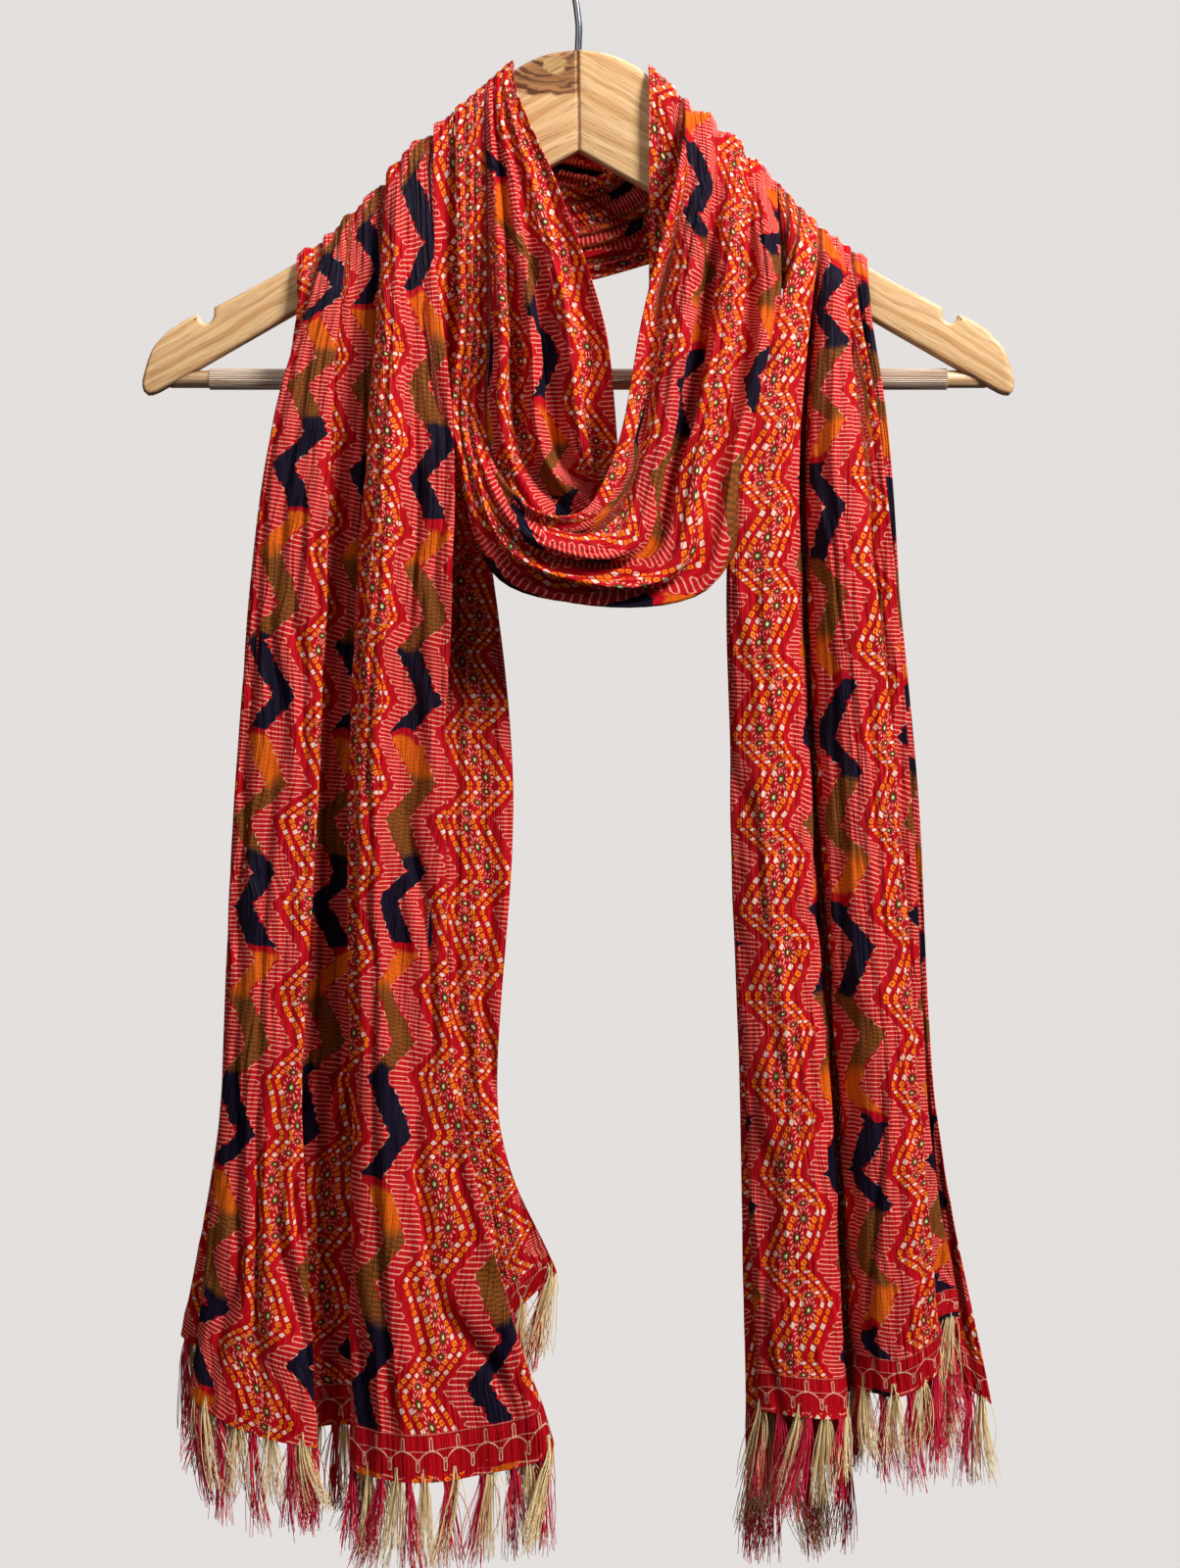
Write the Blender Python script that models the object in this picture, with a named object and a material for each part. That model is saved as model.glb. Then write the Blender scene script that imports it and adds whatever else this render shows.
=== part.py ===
"""A dupatta stole wound once round the neck of a wooden hanger.

The stole is one length of cloth. It runs from the hem of the left tail up over the left arm of
the hanger, across the back, over the right arm beside the neck, round the cowl in front, over
the left arm beside the neck, across the back again, over the right arm and down the right tail.
Sixteen fold lines run the whole length of it, ridges and valleys in turn, and every section of
the cloth is a smooth curve through those lines. Each stretch that shows is a wall of its own,
parted from the next by a thin seam.

The tables are in millimetres. The origin is the point where the hook hangs on its rod, x runs to
the right, y runs from the viewer to the wall, and a drop is a distance below the origin.
"""

import math

import bmesh
import bpy
import numpy as np

MM = 0.001

# Cloth
WALL = 1.0
LINES = 16
SEAM = 0.9
FRINGE_GAP = 0.9

# Hanger
HANGER_HALF = 222.0
ARM_THICKNESS = 12.0
ARM_ROUNDING = 2.0
NECK_DROP = 75.0
APEX_DROP = 126.5
UNDERSIDE_SLOPE = 0.574
TIP_DROP = 251.0
NOTCH_X = 189.5
NOTCH_RADIUS = 4.2
NOTCH_DEPTH = 6.0
MITRE_GAP = 0.15
WIRE_RADIUS = 1.75
HOOK_RADIUS = 17.0
STEM_DEPTH = 24.0
BAR_RADIUS = 4.5
BAR_DROP = 242.5
BAR_HALF = 209.0
SLEEVE_RADIUS = 5.5
SLEEVE_HALF = 188.0
CLEARANCE = 0.3

# Fringe
STRIP_HEIGHT = 2.0
TASSELS = 24
STRANDS = 3
STRAND_WIDTH = 1.3
FAN = 1.3
FRINGE_LENGTH = 44.0
CLEAR_OF_FOLDS = 2.8

# The top edge of an arm, from the middle of the hanger outwards: x, drop.
ARM_TOP = (
    (0.0, 75.0),
    (17.5, 78.0),
    (33.5, 86.5),
    (50.0, 104.5),
    (70.0, 126.0),
    (90.0, 145.0),
    (110.0, 162.0),
    (146.0, 185.0),
    (185.0, 206.0),
    (203.0, 214.5),
    (212.0, 221.5),
    (219.0, 232.5),
    (222.0, 243.0),
)

# The tails, a row for each fold line from the outer selvedge (0) to the inner one (15). The
# columns give x at the crest of the arm and at drops of 250, 450 and 620, x and drop at the hem,
# and how far in front of the hanger's middle plane the line hangs, high up and low down.
TAIL_COLUMNS = (
    "crest_x",
    "chest_x",
    "waist_x",
    "knee_x",
    "hem_x",
    "hem_drop",
    "top_depth",
    "low_depth",
)
LEFT_TAIL = (
    (-143.0, -139.0, -150.0, -160.0, -164.0, 747.0, 9.0, 1.0),
    (-139.0, -148.0, -171.0, -184.0, -202.0, 729.0, 16.0, 9.0),
    (-134.0, -142.0, -160.0, -171.0, -180.0, 746.0, 17.0, 18.0),
    (-129.0, -150.0, -173.0, -181.0, -195.0, 757.0, 24.0, 24.0),
    (-124.0, -138.0, -154.0, -164.0, -169.0, 774.0, 28.0, 33.0),
    (-118.0, -124.0, -131.0, -139.0, -132.0, 783.0, 29.0, 31.0),
    (-113.0, -118.0, -134.0, -146.0, -140.0, 778.0, 18.0, 16.0),
    (-107.0, -109.0, -122.0, -126.0, -122.0, 774.0, 19.0, 11.0),
    (-102.0, -101.0, -108.0, -104.0, -102.0, 778.0, 15.0, 14.0),
    (-97.0, -104.0, -115.0, -114.0, -114.0, 793.0, 29.0, 28.0),
    (-91.0, -93.0, -102.0, -97.0, -84.0, 799.0, 38.0, 40.0),
    (-84.0, -82.0, -92.0, -82.0, -52.0, 797.0, 27.0, 31.0),
    (-78.0, -65.0, -67.0, -58.0, -13.0, 784.0, 30.0, 32.0),
    (-73.0, -73.0, -74.0, -68.0, -36.0, 750.0, 17.0, 16.0),
    (-68.5, -70.0, -62.0, -54.0, -36.0, 724.0, 9.5, 6.0),
    (-64.0, -58.0, -34.0, -32.0, -11.0, 698.0, 8.8, 2.0),
)
RIGHT_TAIL = (
    (147.0, 152.0, 174.0, 185.0, 212.0, 764.0, 10.0, 8.0),
    (144.0, 154.0, 166.0, 176.0, 190.0, 750.0, 15.0, 3.0),
    (141.0, 145.0, 161.0, 171.0, 180.0, 732.0, 12.0, 6.0),
    (138.0, 149.0, 168.0, 178.0, 193.0, 718.0, 22.0, 15.0),
    (135.0, 140.0, 157.0, 168.0, 177.0, 724.0, 19.0, 22.0),
    (132.0, 139.0, 160.0, 172.0, 182.0, 742.0, 29.0, 31.0),
    (129.0, 129.0, 142.0, 155.0, 163.0, 756.0, 33.0, 38.0),
    (126.0, 120.0, 126.0, 138.0, 146.0, 755.0, 26.0, 28.0),
    (123.0, 116.0, 120.0, 131.0, 138.0, 757.0, 15.0, 13.0),
    (120.0, 111.0, 114.0, 125.0, 134.0, 768.0, 27.0, 27.0),
    (117.0, 102.0, 97.0, 106.0, 114.0, 767.0, 35.0, 36.0),
    (114.0, 91.0, 79.0, 85.0, 92.0, 766.0, 32.0, 25.0),
    (111.0, 101.0, 86.0, 91.0, 98.0, 780.0, 24.0, 13.0),
    (108.0, 103.0, 81.0, 83.0, 86.0, 794.0, 18.0, 6.0),
    (105.0, 109.0, 98.0, 104.0, 110.0, 798.0, 12.0, 1.0),
    (102.0, 116.0, 113.0, 124.0, 138.0, 794.0, 9.0, 3.0),
)

# The cowl, a row for each fold line from the outer edge (0) to the neck edge (15). The columns
# follow a line from the right arm, down its right side, along the bottom and up its left side
# to the left arm. The last three say how far forward it hangs on each side and at the bottom.
COWL_COLUMNS = (
    "right_crest_x",
    "right_mid_x",
    "right_low_x",
    "right_foot_x",
    "right_foot_drop",
    "left_foot_x",
    "left_foot_drop",
    "left_low_x",
    "left_mid_x",
    "left_crest_x",
    "right_depth",
    "foot_depth",
    "left_depth",
)
COWL = (
    (101.0, 99.0, 82.0, 68.0, 344.0, -36.0, 349.0, -61.0, -60.5, -61.0, 22.0, 38.0, 16.0),
    (94.0, 93.0, 76.0, 61.0, 352.0, -34.0, 346.0, -59.0, -58.5, -59.0, 34.0, 50.0, 18.0),
    (87.5, 84.0, 69.0, 54.0, 343.0, -32.0, 339.0, -56.5, -56.5, -57.0, 28.0, 45.0, 16.5),
    (80.5, 75.0, 60.0, 45.0, 345.0, -30.0, 336.0, -54.0, -54.5, -55.0, 41.0, 58.0, 18.5),
    (74.0, 62.0, 49.0, 35.0, 333.0, -28.0, 329.0, -51.5, -52.5, -53.0, 32.0, 50.0, 17.0),
    (67.5, 54.0, 41.0, 27.0, 332.0, -26.5, 325.0, -49.0, -50.5, -51.0, 45.0, 61.0, 19.0),
    (61.0, 43.0, 30.0, 16.0, 320.0, -25.0, 317.0, -46.5, -48.5, -49.5, 38.0, 55.0, 17.5),
    (55.0, 33.0, 19.0, 5.0, 312.0, -24.0, 311.0, -44.0, -46.5, -48.0, 38.0, 54.0, 18.5),
    (50.5, 56.0, 50.0, 33.0, 328.0, -22.0, 322.0, -41.0, -43.0, -46.5, 12.0, 32.0, 21.0),
    (48.0, 53.5, 48.0, 35.0, 322.0, -13.0, 315.0, -34.0, -38.0, -45.0, 9.0, 26.0, 31.0),
    (46.0, 51.0, 46.0, 36.5, 316.0, -6.0, 309.0, -25.0, -31.0, -43.0, 11.0, 23.0, 20.0),
    (44.0, 48.5, 44.0, 37.0, 310.5, 1.0, 305.0, -16.0, -24.0, -41.0, 9.0, 23.5, 32.0),
    (42.0, 45.5, 42.0, 37.0, 305.0, 8.5, 300.0, -6.0, -15.0, -39.0, 11.0, 21.0, 21.0),
    (40.0, 42.5, 40.0, 36.0, 300.0, 15.0, 297.0, 4.0, -6.0, -37.0, 9.5, 21.5, 31.0),
    (38.0, 39.0, 38.0, 34.5, 295.0, 20.0, 292.0, 13.0, 3.0, -35.0, 11.0, 19.0, 21.0),
    (36.0, 36.0, 36.0, 32.0, 291.0, 26.0, 289.0, 21.0, 12.5, -33.0, 10.0, 19.0, 27.0),
)

# The two crossings behind the hanger, a row for each place along them: x and drop of the outer
# line (0), x and drop of the inner line (15), and how far behind the middle plane they lie.
LOWER_CROSSING = (
    (-88.0, 193.0, -48.0, 136.0, 10.8),
    (-12.0, 194.0, -8.0, 144.0, 13.0),
    (52.0, 178.0, 22.0, 128.0, 12.0),
)
UPPER_CROSSING = (
    (-42.0, 156.0, -16.0, 112.0, 27.0),
    (10.0, 172.0, 24.0, 122.0, 32.0),
    (84.0, 184.0, 72.0, 140.0, 27.0),
)

# The stretches from hem to hem: name, longest step between rows, samples to a fold.
STRETCHES = (
    ("tail_left", 75.0, 3),
    ("crossing_lower", 40.0, 2),
    ("cowl", 28.0, 3),
    ("crossing_upper", 40.0, 2),
    ("tail_right", 75.0, 3),
)

CHEST, WAIST, KNEE = 250.0, 450.0, 620.0
COWL_MID, COWL_LOW = 214.0, 285.0

RED = (0.52, 0.02, 0.03, 1.0)
GOLD = (0.62, 0.46, 0.24, 1.0)
OAK = (0.58, 0.40, 0.23, 1.0)
STEEL = (0.62, 0.62, 0.62, 1.0)
CLEAR = (0.75, 0.70, 0.66, 1.0)


def column(table, names, name):
    """One named column of a table, as an array."""
    return np.array([row[names.index(name)] for row in table])


def smooth_through(knots, values, at):
    """Reads a smooth curve through values[k] at knots[k], at the given places.

    Each slope is the mean of the slopes on its two sides, weighted by the other side's length,
    and between two knots the curve is the cubic that has those slopes.
    """
    knots, values = np.asarray(knots, float), np.asarray(values, float)
    tail = (1,) * (values.ndim - 1)
    steps = np.diff(knots).reshape((-1,) + tail)
    chords = np.diff(values, axis=0) / steps
    slopes = np.empty_like(values)
    slopes[1:-1] = (chords[1:] * steps[:-1] + chords[:-1] * steps[1:]) / (steps[1:] + steps[:-1])
    slopes[0], slopes[-1] = chords[0], chords[-1]
    cell = np.clip(np.searchsorted(knots, at, side="right") - 1, 0, len(knots) - 2)
    step = steps[cell]
    share = ((at - knots[cell]) / np.diff(knots)[cell]).reshape((-1,) + tail)
    back = 1.0 - share
    return (
        values[cell] * back**2 * (1 + 2 * share)
        + values[cell + 1] * share**2 * (1 + 2 * back)
        + slopes[cell] * step * share * back**2
        - slopes[cell + 1] * step * share**2 * back
    )


def arm_top(x):
    """Drop of the top edge of an arm at a distance x from the middle."""
    points = np.array(ARM_TOP)
    return smooth_through(points[:, 0], points[:, 1], np.abs(x))


def pile_top(x):
    """Drop of the top of the gathered cloth on an arm, which is highest where the cowl lies."""
    hump = 9.0 * np.exp(-(((np.abs(x) - 84.0) / 26.0) ** 2))
    return arm_top(x) - 5.6 - hump


def gather(x, wanted):
    """Depth of the pleats at lines that stand at x: as wanted, or less where they crowd."""
    spacing = np.abs(np.gradient(x))
    return np.minimum(wanted, 0.13 * spacing**2)


RIDGE = np.where(np.arange(LINES) % 2 == 1, 1.0, -1.0)


def point_rows(x, depth, drop):
    """Points (x, -depth, -drop) of all the fold lines at one place along the cloth."""
    return np.stack([x, -np.broadcast_to(depth, x.shape), -drop], axis=1)


def over_arm(crest_x, lower_depth, back_depth):
    """The five places where the cloth bends over an arm, from the front of it to the back."""
    swell = gather(crest_x, 2.1)
    lift = swell * RIDGE
    top = pile_top(crest_x) + swell - lift
    low = pile_top(crest_x) + swell + 24.0 - 12.0 * np.arange(LINES) / (LINES - 1)
    return [
        point_rows(crest_x, 8.3 + 0.1 * lower_depth, top + 8.0),
        point_rows(crest_x, 6.5, top + 1.6),
        point_rows(crest_x, 0.0, top),
        point_rows(crest_x, -6.5, top + 1.6),
        point_rows(crest_x, -back_depth - 0.4 * lift, low),
    ]


def tail_rows(table, back_depth):
    """The places along a tail, from its hem to the back of the arm that it hangs over."""
    col = {name: column(table, TAIL_COLUMNS, name) for name in TAIL_COLUMNS}
    high, low = col["top_depth"], col["low_depth"]
    arch = over_arm(col["crest_x"], high, back_depth)
    shoulder_x = col["crest_x"] * 0.8 + col["chest_x"] * 0.2
    shoulder_drop = 0.6 * pile_top(col["crest_x"]) + 95.0
    shoulder = point_rows(shoulder_x, 5.5 + 0.5 * high, shoulder_drop)
    at_drop = np.full(LINES, 1.0)
    return [
        point_rows(col["hem_x"], low, col["hem_drop"]),
        point_rows(col["knee_x"], low, KNEE * at_drop),
        point_rows(col["waist_x"], 0.45 * high + 0.55 * low, WAIST * at_drop),
        point_rows(col["chest_x"], high, CHEST * at_drop),
        shoulder,
    ] + arch


def cowl_rows():
    """The places along the cowl, from the back of the right arm round to the back of the left."""
    col = {name: column(COWL, COWL_COLUMNS, name) for name in COWL_COLUMNS}
    level = np.full(LINES, 1.0)
    right, foot, left = col["right_depth"], col["foot_depth"], col["left_depth"]
    right_arch = over_arm(col["right_crest_x"], right, 9.0)[::-1]
    left_arch = over_arm(col["left_crest_x"], left, 16.0)
    right_upper = col["right_crest_x"] * 0.75 + col["right_mid_x"] * 0.25
    left_upper = col["left_crest_x"] * 0.5 + col["left_mid_x"] * 0.5
    right_drop = pile_top(col["right_crest_x"]) * 0.62 + COWL_MID * 0.38
    left_drop = pile_top(col["left_crest_x"]) * 0.5 + COWL_MID * 0.5
    return (
        right_arch
        + [
            point_rows(right_upper, 0.55 * right + 5.5, right_drop),
            point_rows(col["right_mid_x"], right, COWL_MID * level),
            point_rows(col["right_low_x"], 0.5 * (right + foot), COWL_LOW * level),
            point_rows(col["right_foot_x"], foot, col["right_foot_drop"]),
            point_rows(col["left_foot_x"], foot, col["left_foot_drop"]),
            point_rows(col["left_low_x"], 0.2 * foot + 0.8 * left, COWL_LOW * level),
            point_rows(col["left_mid_x"], left, COWL_MID * level),
            point_rows(left_upper, 0.5 * left + 6.0, left_drop),
        ]
        + left_arch
    )


def crossing_rows(table):
    """The places along a crossing, each a straight row of lines with big soft rolls in it."""
    share = np.arange(LINES) / (LINES - 1)
    rows = []
    for outer_x, outer_drop, inner_x, inner_drop, behind in table:
        x = outer_x + (inner_x - outer_x) * share
        drop = outer_drop + (inner_drop - outer_drop) * share
        pleat = 1.0 * RIDGE + 1.2 * np.sin(share * 11.0)
        rows.append(point_rows(x, -(behind + pleat), drop))
    return rows


def whole_net():
    """All the places along the stole as (place, line, xyz), and where each stretch ends."""
    left, right = tail_rows(LEFT_TAIL, 9.0), tail_rows(RIGHT_TAIL, 13.0)[::-1]
    lower, cowl, upper = crossing_rows(LOWER_CROSSING), cowl_rows(), crossing_rows(UPPER_CROSSING)
    places, ends = [], []
    for stretch in (left, lower, cowl, upper, right):
        places += stretch
        ends.append(len(places))
    cuts = [0, ends[0] - 1, ends[1], ends[2] - 1, ends[3], ends[4] - 1]
    return np.array(places), cuts


def lengths_along(net):
    """Distance along the cloth of each place, as the mean over the fold lines."""
    steps = np.linalg.norm(np.diff(net, axis=0), axis=2).mean(axis=1)
    return np.concatenate([[0.0], np.cumsum(steps)])


def rows_between(knots, first, last, longest):
    """Distances along the cloth of a stretch's rows: at every place, and evenly between."""
    rows = [knots[first]]
    for k in range(first, last):
        parts = max(1, math.ceil((knots[k + 1] - knots[k]) / longest - 0.2))
        rows += list(np.linspace(knots[k], knots[k + 1], parts + 1)[1:])
    return np.array(rows)


def samples_across(per_fold):
    """Places across the cloth in fold lines: evenly spaced, none on a line but at the edges."""
    inside = (np.arange((LINES - 1) * per_fold) + 0.5) / per_fold
    return np.concatenate([[0.0], inside, [LINES - 1.0]])


def cloth_points(net, knots, rows, across):
    """Points (row, sample, xyz) of the cloth at distances along it and places across it."""
    along = smooth_through(knots, net, rows)
    return np.moveaxis(smooth_through(np.arange(LINES), np.moveaxis(along, 1, 0), across), 0, 1)


def cloth_grid(net, knots, rows, across):
    """The cloth's points, unit directions along it and unit normals, each (row, sample, xyz)."""
    grid = cloth_points(net, knots, rows, across)
    ahead = cloth_points(net, knots, rows + 0.5, across) - cloth_points(net, knots, rows - 0.5, across)
    normal = np.cross(ahead, np.gradient(grid, axis=1))
    return grid, unit(ahead), unit(normal)


def unit(vectors):
    """The same directions with a length of one."""
    return vectors / np.linalg.norm(vectors, axis=-1, keepdims=True)


def wall_mesh(name, grid, normals, thickness):
    """A closed wall of even thickness about a grid of points."""
    rows, samples, _ = grid.shape
    push = normals * thickness / 2
    points = np.concatenate([(grid + push).reshape(-1, 3), (grid - push).reshape(-1, 3)]) * MM
    index = np.arange(rows * samples).reshape(rows, samples)
    under = rows * samples
    a, b, c, d = index[:-1, :-1], index[1:, :-1], index[1:, 1:], index[:-1, 1:]
    front = np.stack([a, b, c, d], axis=-1).reshape(-1, 4)
    back = front[:, ::-1] + under
    rim = np.concatenate([index[0], index[1:, -1], index[-1, -2::-1], index[-2:0:-1, 0]])
    after = np.roll(rim, -1)
    sides = np.stack([rim, after, after + under, rim + under], axis=1)
    return mesh_from(name, points, np.concatenate([front, back, sides]))


def mesh_from(name, points, faces):
    """A mesh with its faces turned to point outwards."""
    mesh = bpy.data.meshes.new(name)
    mesh.from_pydata(np.asarray(points).tolist(), [], [list(map(int, f)) for f in faces])
    shape = bmesh.new()
    shape.from_mesh(mesh)
    bmesh.ops.recalc_face_normals(shape, faces=shape.faces)
    shape.to_mesh(mesh)
    shape.free()
    return mesh


def finish_of(name, colour, roughness, metallic=0.0):
    """A plain material, made once and then shared."""
    material = bpy.data.materials.get(name) or bpy.data.materials.new(name)
    material.use_nodes = True
    shader = material.node_tree.nodes["Principled BSDF"]
    shader.inputs["Base Color"].default_value = colour
    shader.inputs["Roughness"].default_value = roughness
    shader.inputs["Metallic"].default_value = metallic
    return material


def add_object(name, mesh, material, smooth=True):
    """Puts a mesh into the scene under its node's name."""
    shown = bpy.data.objects.new(name, mesh)
    mesh.materials.append(material)
    if smooth and hasattr(mesh, "shade_smooth"):
        mesh.shade_smooth()
        mesh.set_sharp_from_angle(angle=math.radians(50))
    bpy.context.scene.collection.objects.link(shown)
    return shown


def make_cloth():
    """The five stretches of the stole, and the hem lines that the fringes hang from."""
    net, cuts = whole_net()
    knots = lengths_along(net)
    cotton = finish_of("printed_cloth", RED, 0.75)
    hems = []
    for i, (name, longest, per_fold) in enumerate(STRETCHES):
        rows = rows_between(knots, cuts[i], cuts[i + 1], longest)
        rows[0] += SEAM / 2 if i > 0 else 0.0
        rows[-1] -= SEAM / 2 if i < len(STRETCHES) - 1 else 0.0
        grid, ahead, normals = cloth_grid(net, knots, rows, samples_across(per_fold))
        add_object(name, wall_mesh(name, grid, normals, WALL), cotton)
        if name == "tail_left":
            hems.append(("fringe_left", grid[0], -ahead[0], normals[0]))
        if name == "tail_right":
            hems.append(("fringe_right", grid[-1], ahead[-1], normals[-1]))
    return hems


def strip_cells(knots):
    """Distances along the hem where the fringe's strip is cut into cells, and what each cell
    carries: the numbers of its tassel and strand, or nothing."""
    length = knots[-1]
    pitch = length / TASSELS
    width = STRANDS * STRAND_WIDTH
    cells = []
    for tassel in range(TASSELS):
        first = (tassel + 0.5) * pitch - width / 2
        cells += [(first + STRAND_WIDTH * k, (tassel, k)) for k in range(STRANDS)]
        cells.append((first + width, None))
    offset = (knots / pitch) % 1.0 * pitch
    clear = np.abs(offset - pitch / 2) > width / 2 + 0.4
    cells += [(k, None) for k in knots[:-1][clear[:-1]]]
    cells.sort(key=lambda cell: cell[0])
    return np.array([cell[0] for cell in cells] + [length]), [cell[1] for cell in cells]


def in_the_way(points, knots):
    """Which points along the hem have a lower fold of the same hem close beside them."""
    level = np.linalg.norm(points[:, None, :2] - points[None, :, :2], axis=2) < CLEAR_OF_FOLDS
    apart = np.abs(knots[:, None] - knots[None]) > 1.5 * CLEAR_OF_FOLDS
    return (level & apart & (points[:, None, 2] > points[None, :, 2])).any(axis=1)


def fringe_mesh(name, hem, down, normals):
    """A narrow strip that follows the hem, with square strands growing out of its lower side."""
    steps = np.linalg.norm(np.diff(hem, axis=0), axis=1)
    knots = np.concatenate([[0.0], np.cumsum(steps)])
    cuts, carries = strip_cells(knots)

    def read(values):
        return np.stack([np.interp(cuts, knots, values[:, k]) for k in range(3)], axis=1)

    edge = unit(np.gradient(read(hem), axis=0))
    away, facing = unit(read(down)), unit(read(normals)) * WALL / 2
    lean = np.clip(np.linalg.norm(np.cross(away, edge), axis=1, keepdims=True), 0.35, 1.0)
    upper = read(hem) + away * FRINGE_GAP / lean
    lower = upper + away * STRIP_HEIGHT
    blocked = in_the_way(lower, cuts)
    rings = np.stack([upper + facing, upper - facing, lower - facing, lower + facing], axis=1)
    verts, faces = rings.reshape(-1, 3).tolist(), []
    for i, strand in enumerate(carries):
        here, there = 4 * i, 4 * (i + 1)
        for a, b in ((0, 1), (1, 2), (3, 0)):
            faces.append([here + a, there + a, there + b, here + b])
        root = [here + 2, here + 3, there + 3, there + 2]
        if strand is None or blocked[i] or blocked[i + 1]:
            faces.append(root)
        else:
            add_strand(verts, faces, root, *strand)
    last = 4 * (len(cuts) - 1)
    faces += [[0, 3, 2, 1], [last, last + 1, last + 2, last + 3]]
    return mesh_from(name, np.array(verts) * MM, faces)


def add_strand(verts, faces, root, tassel, strand):
    """Grows one tapering strand straight down from four corners of the strip."""
    corners = np.array([verts[k] for k in root])
    centre = corners.mean(axis=0)
    flat = (corners - centre) * [1.0, 1.0, 0.0]
    sideways = unit((corners[2] - corners[1]) * [1.0, 1.0, 0.0])
    swing = 1.5 * math.sin(0.7 * tassel) + FAN * (strand - (STRANDS - 1) / 2)
    length = FRINGE_LENGTH * (1.0 + 0.12 * math.sin(2.3 * tassel + 1.9 * strand))
    first = len(verts)
    tip = centre + sideways * swing - np.array([0.0, 0.0, length])
    verts.extend((tip + flat * 0.55).tolist())
    faces.extend([root[k], root[(k + 1) % 4], first + (k + 1) % 4, first + k] for k in range(4))
    faces.append([first + k for k in range(4)])


def arm_outline():
    """Outline of the right arm as (x, z), clockwise from the mitre at the top of the neck."""
    reach = np.linspace(MITRE_GAP, NOTCH_X - NOTCH_RADIUS, 16)
    top = list(zip(reach, -arm_top(reach)))
    level = arm_top(np.array([NOTCH_X]))[0]
    turns = np.radians(np.linspace(200, 340, 6))
    notch = [
        (NOTCH_X + NOTCH_RADIUS * math.cos(t), NOTCH_DEPTH * math.sin(t) - level - 0.5) for t in turns
    ]
    tip = [(x, -drop) for x, drop in ARM_TOP if x > NOTCH_X + NOTCH_RADIUS + 1.0]
    nose = [(HANGER_HALF - 0.3, -TIP_DROP + 2.0), (HANGER_HALF - 2.5, -TIP_DROP)]
    heel_x = 210.0
    under = [
        (heel_x, -(APEX_DROP + UNDERSIDE_SLOPE * heel_x)),
        (MITRE_GAP, -APEX_DROP - UNDERSIDE_SLOPE * MITRE_GAP),
    ]
    return top + notch + tip + nose + under


def cylinder(name, radius, start, end, sides):
    """A round bar between two points, used as a solid or as a cutter."""
    start, end = np.array(start, float), np.array(end, float)
    shape = bmesh.new()
    made = bmesh.ops.create_cone(
        shape,
        cap_ends=True,
        segments=sides,
        radius1=radius * MM,
        radius2=radius * MM,
        depth=float(np.linalg.norm(end - start)) * MM,
    )
    if abs(end[0] - start[0]) > abs(end[2] - start[2]):
        turn = [(0, 0, 1), (0, 1, 0), (-1, 0, 0)]
        for vert in made["verts"]:
            vert.co = [sum(r[k] * vert.co[k] for k in range(3)) for r in turn]
    middle = (start + end) / 2 * MM
    for vert in made["verts"]:
        vert.co = [vert.co[k] + middle[k] for k in range(3)]
    bmesh.ops.recalc_face_normals(shape, faces=shape.faces)
    mesh = bpy.data.meshes.new(name)
    shape.to_mesh(mesh)
    shape.free()
    return mesh


def cut_with(target, cutter_mesh):
    """Takes the cutter's shape out of an object."""
    cutter = bpy.data.objects.new("cutter_" + cutter_mesh.name, cutter_mesh)
    cutter.hide_render = True
    cutter.display_type = "WIRE"
    bpy.context.scene.collection.objects.link(cutter)
    modifier = target.modifiers.new("Cut", "BOOLEAN")
    modifier.object = cutter
    modifier.solver = "EXACT"
    modifier.operation = "DIFFERENCE"


def make_arm(name, side, wood):
    """One arm: its outline in the plane of the hanger, thickened and with its edges broken."""
    outline = [(x * side, z) for x, z in arm_outline()]
    if side < 0:
        outline.reverse()
    count = len(outline)
    verts = [(x * MM, y * MM, z * MM) for y in (-ARM_THICKNESS / 2, ARM_THICKNESS / 2) for x, z in outline]
    front = list(range(count))
    back = [count + k for k in reversed(range(count))]
    sides = [[k, (k + 1) % count, count + (k + 1) % count, count + k] for k in range(count)]
    arm = add_object(name, mesh_from(name, verts, [front, back] + sides), wood)
    bevel = arm.modifiers.new("Edges", "BEVEL")
    bevel.width = ARM_ROUNDING * MM
    bevel.segments = 1
    bevel.limit_method = "ANGLE"
    bevel.angle_limit = math.radians(60)
    stem_hole = WIRE_RADIUS + CLEARANCE
    cut_with(arm, cylinder(name + "_stem", stem_hole, (0, 0, -60), (0, 0, -NECK_DROP - STEM_DEPTH - CLEARANCE), 12))
    bar_hole = BAR_RADIUS + CLEARANCE
    inner, outer = side * 190.0, side * (BAR_HALF + CLEARANCE)
    cut_with(arm, cylinder(name + "_bar", bar_hole, (inner, 0, -BAR_DROP), (outer, 0, -BAR_DROP), 16))
    return arm


def make_sleeve(material):
    """The clear tube over the trouser bar that keeps cloth from slipping."""
    sides, inner = 16, BAR_RADIUS + CLEARANCE
    verts, faces = [], []
    for x, radius in ((-1, SLEEVE_RADIUS), (1, SLEEVE_RADIUS), (1, inner), (-1, inner)):
        for k in range(sides):
            turn = 2 * math.pi * k / sides
            verts.append((x * SLEEVE_HALF * MM, radius * math.cos(turn) * MM,
                          (radius * math.sin(turn) - BAR_DROP) * MM))
    for ring in range(4):
        for k in range(sides):
            here, after = ring * sides, ((ring + 1) % 4) * sides
            faces.append([here + k, here + (k + 1) % sides, after + (k + 1) % sides, after + k])
    add_object("bar_sleeve", mesh_from("bar_sleeve", verts, faces), material)


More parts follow.
